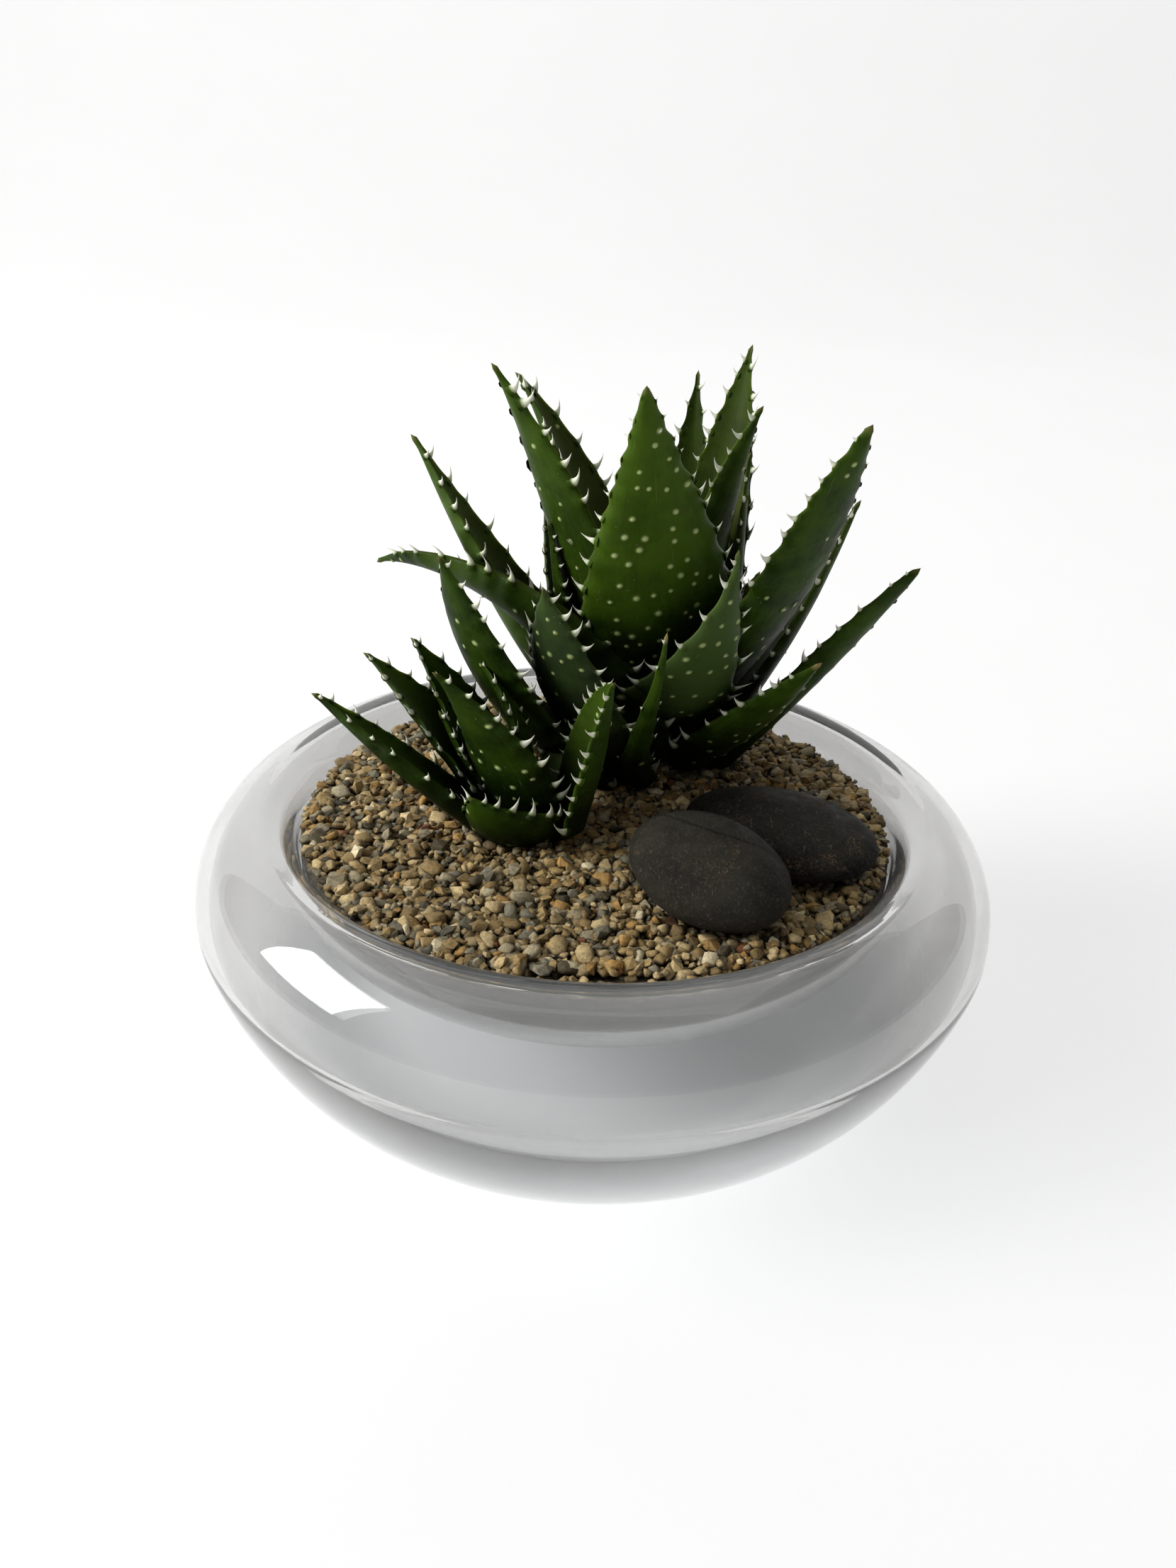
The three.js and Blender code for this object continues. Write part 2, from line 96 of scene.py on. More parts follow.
class Recipe:
    """A material's node tree, put together socket by socket."""

    def __init__(self, name):
        self.material = bpy.data.materials.new(name)
        self.material.use_nodes = True
        self.tree = self.material.node_tree
        self.tree.nodes.clear()
        self.output = self.node("ShaderNodeOutputMaterial")
        self.shader = self.node("ShaderNodeBsdfPrincipled")
        self.link(self.shader.outputs[0], self.output.inputs["Surface"])
        self.where = self.node("ShaderNodeTexCoord").outputs["Object"]

    def node(self, kind, **settings):
        made = self.tree.nodes.new(kind)
        for key, value in settings.items():
            setattr(made, key, value)
        return made

    def link(self, source, target):
        self.tree.links.new(source, target)

    def feed(self, target, value):
        if isinstance(value, bpy.types.NodeSocket):
            self.link(value, target)
        else:
            target.default_value = value

    def math(self, operation, a, b=0.0, clamp=False):
        made = self.node("ShaderNodeMath", operation=operation, use_clamp=clamp)
        self.feed(made.inputs[0], a)
        self.feed(made.inputs[1], b)
        return made.outputs[0]

    def attribute(self, name):
        return self.node("ShaderNodeAttribute", attribute_name=name)

    def parts(self, vector):
        made = self.node("ShaderNodeSeparateXYZ")
        self.feed(made.inputs[0], vector)
        return made.outputs

    def stretched(self, vector, scale, shift=(0, 0, 0)):
        made = self.node("ShaderNodeMapping")
        self.feed(made.inputs["Vector"], vector)
        made.inputs["Scale"].default_value = scale
        made.inputs["Location"].default_value = shift
        return made.outputs[0]

    def grain(self, scale, detail=4.0, rough=0.55, vector=None, warp=0.0):
        made = self.node("ShaderNodeTexNoise")
        self.feed(made.inputs["Vector"], self.where if vector is None else vector)
        made.inputs["Scale"].default_value = scale
        made.inputs["Detail"].default_value = detail
        made.inputs["Roughness"].default_value = rough
        made.inputs["Distortion"].default_value = warp
        return made.outputs["Fac"]

    def cells(self, scale):
        made = self.node("ShaderNodeTexVoronoi", feature="F1")
        self.feed(made.inputs["Vector"], self.where)
        made.inputs["Scale"].default_value = scale
        return made.outputs["Distance"]

    def ramp(self, value, *stops):
        """Stops are (place, level); the result is a grey level."""
        made = self.node("ShaderNodeMapRange", interpolation_type="SMOOTHSTEP")
        (low, at_low), (high, at_high) = stops
        self.feed(made.inputs["Value"], value)
        made.inputs["From Min"].default_value = low
        made.inputs["From Max"].default_value = high
        made.inputs["To Min"].default_value = at_low
        made.inputs["To Max"].default_value = at_high
        return made.outputs[0]

    def mix(self, share, a, b, blend="MIX"):
        """Colour a, with the share of colour b mixed in."""
        made = self.node("ShaderNodeMix", data_type="RGBA", blend_type=blend)
        share_in, _, _, _, _, _, colour_a, colour_b = made.inputs[:8]
        self.feed(share_in, share)
        for target, value in ((colour_a, a), (colour_b, b)):
            if not isinstance(value, bpy.types.NodeSocket):
                value = (*value, 1)
            self.feed(target, value)
        return made.outputs[2]

    def nook(self, distance):
        """How open the surface is: 1 in the open, towards 0 far into a corner; the materials
        paint shade with it.
        """
        made = self.node("ShaderNodeAmbientOcclusion", samples=NOOK_SAMPLES)
        made.inputs["Distance"].default_value = distance
        return made.outputs["AO"]

    def relief(self, height, strength, distance, under=None):
        made = self.node("ShaderNodeBump")
        made.inputs["Strength"].default_value = strength
        made.inputs["Distance"].default_value = distance
        self.feed(made.inputs["Height"], height)
        if under is not None:
            self.link(under, made.inputs["Normal"])
        return made.outputs[0]

    def set(self, **sockets):
        for name, value in sockets.items():
            target = self.shader.inputs[name.replace("_", " ")]
            if isinstance(value, tuple) and len(value) == 3 and target.type == "RGBA":
                value = (*value, 1)
            self.feed(target, value)


# ---------------------------------------------------------------- materials
# lengths in metres, colours as linear red, green and blue
FOOT_RING_R, FOOT_RING_HALF, FOOT_RING_FADE = 0.0355, 0.0005, 0.0016
# the glass is milky and pale at the foot and clears up to these heights: painted reflection of
# the light band low on the bowl
PAINTED_REFLECTION_LOW_Z, PAINTED_REFLECTION_TOP_Z = 0.003, 0.036
GLASS_PAINTED_REFLECTION = (0.90, 0.92, 0.93)
GLASS_CLEAR = (0.775, 0.77, 0.762)
GLASS_SHADOW = (0.82, 0.83, 0.835, 1)
SILT_DARK, SILT_PALE = (0.105, 0.108, 0.106), (0.19, 0.194, 0.19)
SILT_RIGHT_DARK = (0.078, 0.072, 0.060)
SILT_RUN = (0.12, 0.115, 0.105)
SILT_SPECK = (0.03, 0.03, 0.03)
GRAVEL_MOTTLE = (0.10, 0.085, 0.06)
GRAVEL_VEIN = (0.46, 0.40, 0.30)
GRAVEL_NOOK_SHADE = (0.012, 0.009, 0.005)
PEBBLE_SCRATCH = (0.13, 0.12, 0.10)
PEBBLE_HAIR = (0.085, 0.078, 0.066)
PEBBLE_CRUMB = (0.070, 0.064, 0.050)
PEBBLE_CREASE_SHADE = (0.004, 0.0035, 0.003)
PEBBLE_DUST = (0.21, 0.13, 0.055)
STEM_DARK, STEM_PALE = (0.05, 0.04, 0.015), (0.16, 0.14, 0.06)
LEAF_BLOOM = (0.070, 0.098, 0.046)
LEAF_FLECK = (0.10, 0.14, 0.045)
LEAF_SPECK = (0.24, 0.28, 0.17)
LEAF_SCRATCH = (0.16, 0.19, 0.09)
LEAF_NOOK_SHADE = (0.0012, 0.0036, 0.0004)
TUBERCLE = (0.47, 0.56, 0.22)
WITHERED_DARK, WITHERED_PALE = (0.13, 0.085, 0.030), (0.26, 0.20, 0.085)
HORN_ROOT, HORN_TIP = (0.42, 0.48, 0.26), (0.83, 0.84, 0.70)
FLOOR_DARK, FLOOR_PALE = (0.42, 0.42, 0.417), (0.43, 0.43, 0.427)


def glass_look():
    """Clear blown glass, a little wavy, with a faint film where it was wiped.
    It turns milky and pale low on the outside, a painted reflection of the light band there,
    and is duller round the ring that the foot stands on."""
    r = Recipe("blown_glass")
    sides = r.parts(r.where)
    square_x = r.math("MULTIPLY", sides["X"], sides["X"])
    square_y = r.math("MULTIPLY", sides["Y"], sides["Y"])
    across = r.math("SQRT", r.math("ADD", square_x, square_y))
    off_ring = r.math("ABSOLUTE", r.math("SUBTRACT", across, FOOT_RING_R))
    ring = r.math(
        "MULTIPLY",
        r.ramp(off_ring, (FOOT_RING_HALF, 1.0), (FOOT_RING_FADE, 0.0)),
        r.ramp(sides["Z"], (0.001, 1.0), (0.003, 0.0)),
    )
    # painted reflection: less clear and paler towards the foot
    clear_of_painted_reflection = r.ramp(sides["Z"], (PAINTED_REFLECTION_LOW_Z, 0.20), (PAINTED_REFLECTION_TOP_Z, 1.0))
    off_foot = r.math("SUBTRACT", 1.0, r.math("MULTIPLY", ring, 0.5))
    clear = r.math("MULTIPLY", clear_of_painted_reflection, off_foot)
    film = r.ramp(r.grain(38, 5, 0.6), (0.52, 0.0), (0.75, 0.035))
    waves = r.grain(26, 1.5, 0.4)
    wiped = r.ramp(r.grain(14, 4, 0.6), (0.35, 0.95), (0.70, 0.90))
    r.set(
        Base_Color=r.mix(clear_of_painted_reflection, GLASS_PAINTED_REFLECTION, GLASS_CLEAR),
        Transmission_Weight=r.math("MULTIPLY", wiped, clear),
        IOR=1.47,
        Roughness=film,
        Normal=r.relief(waves, 0.06, 0.002),
    )
    shadow = r.node("ShaderNodeBsdfTransparent")
    shadow.inputs["Color"].default_value = GLASS_SHADOW
    path = r.node("ShaderNodeLightPath")
    both = r.node("ShaderNodeMixShader")
    r.link(path.outputs["Is Shadow Ray"], both.inputs[0])
    r.link(r.shader.outputs[0], both.inputs[1])
    r.link(shadow.outputs[0], both.inputs[2])
    r.link(both.outputs[0], r.output.inputs["Surface"])
    return r.material


def silt_look():
    """Pale grey silt pressed against the glass, with dark specks and runs."""
    r = Recipe("grey_silt")
    cloud = r.ramp(r.grain(45, 5, 0.6), (0.3, 0.0), (0.7, 1.0))
    colour = r.mix(cloud, SILT_DARK, SILT_PALE)
    sides = r.parts(r.where)
    # darker and browner towards +X
    rightward = r.math("ADD", sides["X"], r.math("MULTIPLY", r.grain(22, 3), 0.05))
    colour = r.mix(r.ramp(rightward, (0.025, 0.0), (0.075, 0.8)), colour, SILT_RIGHT_DARK)
    runs = r.grain(1, 5, 0.7, r.stretched(r.where, (420, 420, 60)))
    colour = r.mix(r.ramp(runs, (0.56, 0.0), (0.72, 0.6)), colour, SILT_RUN)
    fine = r.ramp(r.cells(900), (0.10, 1.0), (0.22, 0.0))
    some = r.ramp(r.grain(130, 2), (0.50, 0.0), (0.58, 1.0))
    colour = r.mix(r.math("MULTIPLY", fine, some), colour, SILT_SPECK)
    r.set(
        Base_Color=colour,
        Roughness=r.ramp(cloud, (0.0, 0.9), (1.0, 0.75)),
        Normal=r.relief(r.grain(1500, 3), 0.35, 0.0006),
    )
    return r.material


def gravel_look():
    """River gravel: each grain has its own colour, with veins and dust, and painted shade in
    the gaps between grains.
    """
    r = Recipe("river_gravel")
    own = r.attribute("grain_colour").outputs["Color"]
    mottle = r.grain(1300, 4, 0.65)
    mottled = r.ramp(mottle, (0.35, 0.0), (0.75, 0.55))
    colour = r.mix(mottled, own, GRAVEL_MOTTLE, "MULTIPLY")
    vein = r.grain(700, 3, 0.5, warp=1.5)
    colour = r.mix(r.ramp(vein, (0.60, 0.0), (0.72, 0.35)), colour, GRAVEL_VEIN)
    # painted shade: darker where the grains crowd together
    colour = r.mix(r.ramp(r.nook(0.0032), (0.10, 0.92), (0.85, 0.0)), colour, GRAVEL_NOOK_SHADE)
    pits = r.relief(r.cells(4200), 0.25, 0.0003)
    r.set(
        Base_Color=colour,
        Specular_IOR_Level=0.30,
        Roughness=r.ramp(r.grain(900, 3), (0.3, 0.42), (0.7, 0.85)),
        Normal=r.relief(r.grain(3200, 5, 0.7), 0.5, 0.0004, pits),
    )
    return r.material


def pebble_look(name, shade, light):
    """Matt dark river pebble: pits, pale scratches, painted shade along a crease, ochre dust.
    """
    r = Recipe(name)
    cloud = r.ramp(r.grain(70, 6, 0.62), (0.32, 0.0), (0.70, 1.0))
    colour = r.mix(cloud, shade, light)
    thin = r.grain(1, 3, 0.6, r.stretched(r.where, (1500, 260, 900)), 0.3)
    colour = r.mix(r.ramp(thin, (0.63, 0.0), (0.70, 0.5)), colour, PEBBLE_SCRATCH)
    bend = r.math("ABSOLUTE", r.math("SUBTRACT", r.grain(150, 2, 0.5, warp=0.6), 0.5))
    here = r.ramp(r.grain(60, 3), (0.50, 0.0), (0.60, 1.0))
    hair = r.math("MULTIPLY", r.ramp(bend, (0.0, 0.55), (0.010, 0.0)), here)
    colour = r.mix(hair, colour, PEBBLE_HAIR)
    crumb = r.ramp(r.grain(1500, 4, 0.75), (0.50, 0.0), (0.68, 0.55))
    colour = r.mix(crumb, colour, PEBBLE_CRUMB)
    crease = r.attribute("crease").outputs["Fac"]
    # painted shade along the crease
    colour = r.mix(r.math("MULTIPLY", crease, 0.8), colour, PEBBLE_CREASE_SHADE)
    dust = r.math(
        "MULTIPLY",
        r.ramp(r.grain(95, 5, 0.7), (0.52, 0.0), (0.72, 1.0)),
        r.ramp(r.grain(1900, 3, 0.7), (0.50, 0.0), (0.62, 1.0)),
    )
    colour = r.mix(r.math("MULTIPLY", dust, 0.75), colour, PEBBLE_DUST)
    fine = r.relief(r.grain(2600, 5, 0.7), 0.80, 0.0006)
    r.set(
        Base_Color=colour,
        Roughness=r.ramp(r.grain(240, 5), (0.3, 0.52), (0.7, 0.74)),
        Specular_IOR_Level=0.14,
        Normal=r.relief(r.grain(230, 5, 0.6), 0.55, 0.0016, fine),
    )
    return r.material


def stem_look():
    """Old leaf bases on the stem: fibrous and brown."""
    r = Recipe("fibrous_stem")
    fibre = r.grain(1, 5, 0.7, r.stretched(r.where, (1400, 1400, 130)))
    colour = r.mix(r.ramp(fibre, (0.35, 0.0), (0.65, 1.0)), STEM_DARK, STEM_PALE)
    r.set(
        Base_Color=colour,
        Roughness=r.ramp(fibre, (0.3, 0.9), (0.7, 0.7)),
        Normal=r.relief(fibre, 0.6, 0.0008),
    )
    return r.material


def aloe_look(name, shade, light, channel):
    """Waxy aloe skin with painted shade in its nooks. parts: horn of a tooth, paleness of a
    tubercle, dryness.
    mood: tone with painted light and shade, bloom, inner face. blade: across and along the
    leaf, in metres."""
    r = Recipe(name)
    horn, pale, dry = r.parts(r.attribute("parts").outputs["Vector"])
    tone, bloom, inner = r.parts(r.attribute("mood").outputs["Vector"])
    blade = r.attribute("blade").outputs["Vector"]
    cloud = r.ramp(r.grain(95, 4, 0.6), (0.30, 0.0), (0.72, 1.0))
    lines = r.grain(1, 4, 0.6, r.stretched(blade, (1500, 45, 1)))
    level = r.math("ADD", r.math("MULTIPLY", cloud, 0.55), r.math("MULTIPLY", lines, 0.45))
    level = r.math("ADD", level, r.math("MULTIPLY", tone, 0.5), clamp=True)
    colour = r.mix(level, shade, light)
    colour = r.mix(r.math("MULTIPLY", inner, 0.62), colour, channel)
    colour = r.mix(r.math("MULTIPLY", bloom, 0.55), colour, LEAF_BLOOM)
    flecks = r.ramp(r.grain(2100, 3, 0.6), (0.60, 0.0), (0.74, 0.25))
    colour = r.mix(flecks, colour, LEAF_FLECK)
    here = r.ramp(r.grain(70, 3), (0.48, 0.0), (0.60, 0.5))
    specks = r.math("MULTIPLY", r.ramp(r.cells(430), (0.05, 1.0), (0.10, 0.0)), here)
    colour = r.mix(specks, colour, LEAF_SPECK)
    scratch = r.grain(1, 2, 0.5, r.stretched(blade, (650, 90, 1), (3, 1, 0)), 0.8)
    colour = r.mix(r.ramp(scratch, (0.70, 0.0), (0.75, 0.30)), colour, LEAF_SCRATCH)
    colour = r.mix(r.ramp(pale, (0.0, 0.0), (1.0, 0.88)), colour, TUBERCLE)
    withered = r.mix(r.ramp(lines, (0.4, 0.0), (0.6, 1.0)), WITHERED_DARK, WITHERED_PALE)
    colour = r.mix(dry, colour, withered)
    tooth = r.mix(r.ramp(horn, (0.30, 0.0), (0.85, 1.0)), HORN_ROOT, HORN_TIP)
    colour = r.mix(r.ramp(horn, (0.02, 0.0), (0.40, 1.0)), colour, tooth)
    # painted shade: darker in the nooks between leaves
    colour = r.mix(r.ramp(r.nook(0.024), (0.05, 0.88), (0.70, 0.0)), colour, LEAF_NOOK_SHADE)
    wax = r.ramp(r.grain(160, 4), (0.3, 0.40), (0.7, 0.56))
    fine = r.relief(lines, 0.10, 0.0006)
    r.set(
        Base_Color=colour,
        Roughness=wax,
        Specular_IOR_Level=0.08,
        Subsurface_Weight=0.12,
        Subsurface_Radius=(0.9, 1.0, 0.3),
        Subsurface_Scale=0.0016,
        Normal=r.relief(r.grain(520, 4), 0.10, 0.0005, fine),
    )
    return r.material


def floor_look():
    """Pale matt floor that glows a little, so that it stays almost white."""
    r = Recipe("pale_floor")
    cloud = r.ramp(r.grain(6, 2), (0.3, 0.0), (0.7, 1.0))
    r.set(
        Base_Color=r.mix(cloud, FLOOR_DARK, FLOOR_PALE),
        Roughness=0.7,
        Emission_Color=(1.0, 1.0, 1.0),
        Emission_Strength=0.60,
    )
    return r.material


GLASS = glass_look()
SILT = silt_look()
GRAVEL = gravel_look()
# One pebble look in two copies: the front one's colours lightened as painted light, the back
# one's darkened as painted shade.
FRONT_PEBBLE = pebble_look(
    "front_pebble_lit",
    shade=(0.014, 0.0122, 0.009),
    light=(0.036, 0.032, 0.023),
)
BACK_PEBBLE = pebble_look(
    "back_pebble_shaded",
    shade=(0.0075, 0.0066, 0.005),
    light=(0.019, 0.0165, 0.012),
)
STEM = stem_look()
LEAF = aloe_look(
    "aloe_skin",
    shade=(0.0065, 0.018, 0.0008),
    light=(0.051, 0.100, 0.0048),
    channel=(0.075, 0.088, 0.020),
)
PUP_LEAF = aloe_look(
    "offset_skin",
    shade=(0.006, 0.015, 0.0008),
    light=(0.036, 0.074, 0.0028),
    channel=(0.052, 0.092, 0.008),
)


# ---------------------------------------------------------------- pieces
def mesh_of(bm, name):
    """The bmesh written to a new mesh and freed."""
    mesh = bpy.data.meshes.new(name)
    bm.to_mesh(mesh)
    bm.free()
    return mesh


def shown(bm, name, material, smooth=True):
    """The finished bmesh as an object of the scene."""
    mesh = mesh_of(bm, name)
    mesh.materials.append(material)
    for face in mesh.polygons:
        face.use_smooth = smooth or face.use_smooth
    made = bpy.data.objects.new(name, mesh)
    bpy.context.scene.collection.objects.link(made)
    return made


def piece(bm, name, material, slot, *nodes, smooth=True):
    """The finished bmesh as a piece that rides on the part."""
    made = shown(bm, name, material, smooth)
    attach(made, "root")
    if nodes:
        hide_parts(*nodes)


def sleeve(around, along):
    """A tube as a grid whose x and y run from 0 to 1, round it and along it."""
    bm = bmesh.new()
    bmesh.ops.create_grid(bm, x_segments=around, y_segments=along, size=0.5)
    bmesh.ops.translate(bm, verts=bm.verts, vec=(0.5, 0.5, 0))
    return bm


def closed(bm, distance=1e-6):
    """Seams and poles merged, faces turned outwards."""
    bmesh.ops.remove_doubles(bm, verts=bm.verts, dist=distance)
    bmesh.ops.recalc_face_normals(bm, faces=bm.faces)
    return bm


def lathe(points, steps):
    """A line of (radius, height) points in millimetres, spun round the axis."""
    bm = bmesh.new()
    line = [bm.verts.new((r * MM, 0, z * MM)) for r, z in points]
    edges = [bm.edges.new(pair) for pair in zip(line, line[1:])]
    bmesh.ops.spin(
        bm,
        geom=line + edges,
        axis=(0, 0, 1),
        cent=(0, 0, 0),
        angle=2 * math.pi,
        steps=steps,
        use_merge=True,
    )
    return closed(bm)


def arc(a, b, c, d, steps):
    """Points of a curve from a to d, pulled towards b and c, without a."""
    made = interpolate_bezier(*(Vector((*p, 0)) for p in (a, b, c, d)), steps + 1)
    return [(p.x, p.y) for p in made][1:]


# ---------------------------------------------------------------- bowl
BOWL_R, WIDEST_Z = 100, 48
INNER_R = 96.8
FOOT_R = 57
RIM_R, RIM_Z = 82.7, 70.5
INNER_RIM_R, INNER_RIM_Z = 82.6, 67.2
WELL_R, WELL_Z, WELL_DEPTH = 74.5, 59.4, 30
WELL_WALL = 3.2
FLOOR = 5.6
FLOOR_EDGE_R, FLOOR_EDGE_Z = 52, FLOOR + 0.3
VENT_R, VENT_EDGE = 2, 0.4
GAP = 0.3
GRAVEL_BOTTOM = 58.6
SPIN = 160
BELLY_STEPS, SHOULDER_STEPS, LIP_STEPS, WELL_STEPS = 26, 20, 12, 22
INNER_SHOULDER_STEPS, INNER_LIP_STEPS = 18, 10
SILT_STEPS = 40


def well_line(grow, steps):
    """The well's side from its mouth to its middle, moved out by grow."""
    turns = [math.pi * i / (2 * steps) for i in range(steps + 1)]
    line = [
        ((WELL_R + grow) * math.cos(t), WELL_Z - (WELL_DEPTH + grow) * math.sin(t))
        for t in turns
    ]
    line[-1] = (0, line[-1][1])
    return line


def glass_bowl():
    foot, widest = (FOOT_R, 0), (BOWL_R, WIDEST_Z)
    rim, mouth = (RIM_R, RIM_Z), (WELL_R, WELL_Z)
    outside = [(VENT_R, 0.35), (VENT_R + VENT_EDGE, 0), (20, 0), (40, 0), foot]
    outside += arc(foot, (87, 0), (BOWL_R, 44), widest, BELLY_STEPS)
    outside += arc(widest, (BOWL_R, 65.7), (85, RIM_Z), rim, SHOULDER_STEPS)
    outside += arc(rim, (79.3, RIM_Z), (WELL_R, 65), mouth, LIP_STEPS)
    outside += well_line(0, WELL_STEPS)[1:]
    floor_edge, widest = (FLOOR_EDGE_R, FLOOR_EDGE_Z), (INNER_R, WIDEST_Z)
    rim, mouth = (INNER_RIM_R, INNER_RIM_Z), (WELL_R + WELL_WALL, WELL_Z)
    inside = [(VENT_R, FLOOR), (20, FLOOR), (40, FLOOR + 0.1), floor_edge]
    inside += arc(floor_edge, (83, 7), (96.6, 43), widest, BELLY_STEPS)
    inside += arc(widest, (INNER_R, 62.5), (85, INNER_RIM_Z), rim, INNER_SHOULDER_STEPS)
    inside += arc(rim, (80.2, INNER_RIM_Z), (mouth[0], 63.5), mouth, INNER_LIP_STEPS)
    inside += well_line(WELL_WALL, WELL_STEPS)[1:]
    bm = lathe(outside[::-1] + inside, SPIN)
    piece(bm, "blown_bowl", GLASS, "glass", "glass_bowl")


def silt_fill():
    """The filling of the well under the gravel, as it presses on the glass."""
    top = GRAVEL_BOTTOM - GAP
    line = [(r, z) for r, z in well_line(-GAP, SILT_STEPS) if z < top]
    shoulder = (WELL_R - GAP) * math.sqrt(1 - ((WELL_Z - top) / (WELL_DEPTH - GAP)) ** 2)
    lid = [(0, top), (30, top), (60, top), (shoulder - 0.4, top), (shoulder, top - 0.4)]
    bm = lathe(lid + line, SPIN)
    piece(bm, "silt_fill", SILT, "substrate", "substrate")


# ---------------------------------------------------------------- gravel
BED_TOP, BED_STEPS, BED_SPIN, BED_LUMP = 62.4, 26, 120, 0.9
GRAVEL_TOP = 66.0
# height of a layer, distance of its grains, scatter up and down
GRAIN_LAYERS = [(62.7, 2.3, 0.5), (64.0, 1.75, 0.55), (64.9, 3.8, 0.45)]
GRAIN_SIZE, GRAIN_SPREAD = 1.95, 0.33
SMALLEST_GRAIN, LARGEST_GRAIN = 1.0, 4.0
RING_GRAINS, RING_R, RING_Z = 520, 72.6, (59.6, 64.6)
GRAIN_SHAPES, GRAIN_SEED = 16, 11
CHUNK_GRAINS, GRAIN_PIECES = 60, 3
PEBBLE_SEAT = 0.75
GRAIN_COLOURS = [
    # share, colour
    (20, (0.430, 0.295, 0.118)),
    (20, (0.580, 0.430, 0.205)),
    (16, (0.300, 0.200, 0.075)),
    (12, (0.400, 0.335, 0.205)),
    (8, (0.120, 0.095, 0.050)),
    (7, (0.235, 0.210, 0.140)),
    (7, (0.500, 0.290, 0.085)),
    (6, (0.700, 0.530, 0.270)),
    (3, (0.800, 0.680, 0.430)),
    (1, (0.330, 0.130, 0.050)),
]


def grain_shapes(rng, count):
    """Worn grains, each a block with bevelled edges, and sharp chips."""
    made = []
    for number in range(count):
        bm = bmesh.new()
        worn = number % 2 == 0
        if worn:
            bmesh.ops.create_cube(bm, size=1)
            bmesh.ops.bevel(
                bm,
                geom=list(bm.edges) + list(bm.verts),
                offset=rng.uniform(0.13, 0.27),
                offset_type="OFFSET",
                affect="EDGES",
                segments=1,
                profile=0.5,
                material=-1,
            )
        else:
            bmesh.ops.create_icosphere(bm, subdivisions=1, radius=0.62)
        for v in bm.verts:
            v.co += Vector((rng.uniform(-1, 1) for _ in range(3))) * (0.10 if worn else 0.14)
        slant = Matrix.Rotation(rng.uniform(-0.3, 0.3), 4, "X")
        bmesh.ops.transform(bm, matrix=slant, verts=bm.verts)
        bmesh.ops.recalc_face_normals(bm, faces=bm.faces)
        for face in bm.faces:
            face.smooth = worn
        made.append(mesh_of(bm, "grain"))
    return made


def gravel_bed():
    """The packed gravel under the loose top grains, in one crumbly disc."""
    edge = WELL_R - 0.6
    line = [(0, BED_TOP), (10, BED_TOP)]
    for i in range(1, BED_STEPS + 1):
        line.append((10 + (edge - 10) * i / BED_STEPS, BED_TOP))
    line += [(edge, GRAVEL_BOTTOM + 1.5), (edge - 0.2, GRAVEL_BOTTOM)]
    line += [(40, GRAVEL_BOTTOM), (0, GRAVEL_BOTTOM)]
    bm = lathe(line, BED_SPIN)
    layer = bm.verts.layers.float_color.new("grain_colour")
    for v in bm.verts:
        lump = noise.noise(v.co * 420)
        if v.co.z > (BED_TOP - 0.1) * MM:
            v.co.z += lump * BED_LUMP * MM
        v[layer] = (0.16 + 0.08 * lump, 0.12 + 0.06 * lump, 0.07 + 0.03 * lump, 1)
    piece(bm, "gravel_bed", GRAVEL, "gravel", "gravel")


def in_pebble(x, y, z):
    for row in PEBBLES:
        local = pebble_turn(row).inverted() @ (Vector((x, y, z)) - Vector(row["at"]))
        if sum((local[i] / row["half"][i]) ** 2 for i in range(3)) < PEBBLE_SEAT:
            return True
    return False


def grain_spots(rng):
    """Where grains may lie: staggered rows in each layer, and a ring at the glass."""
    spots = []
    for level, spacing, spread in GRAIN_LAYERS:
        rows = int(2 * WELL_R / spacing) + 2
        for i in range(rows):
            for k in range(rows):
                x = (i - rows / 2 + 0.5 * (k % 2)) * spacing
                x += rng.uniform(-0.45, 0.45) * spacing
                y = (k - rows / 2) * spacing * 0.9 + rng.uniform(-0.45, 0.45) * spacing
                spots.append((x, y, level + rng.uniform(-spread, spread)))
    for _ in range(RING_GRAINS):
        turn = rng.uniform(0, 2 * math.pi)
        x, y = RING_R * math.cos(turn), RING_R * math.sin(turn)
        spots.append((x, y, rng.uniform(*RING_Z)))
    return spots


def grain_chunk():
    bm = bmesh.new()
    return bm, bm.verts.layers.float_color.new("grain_colour")


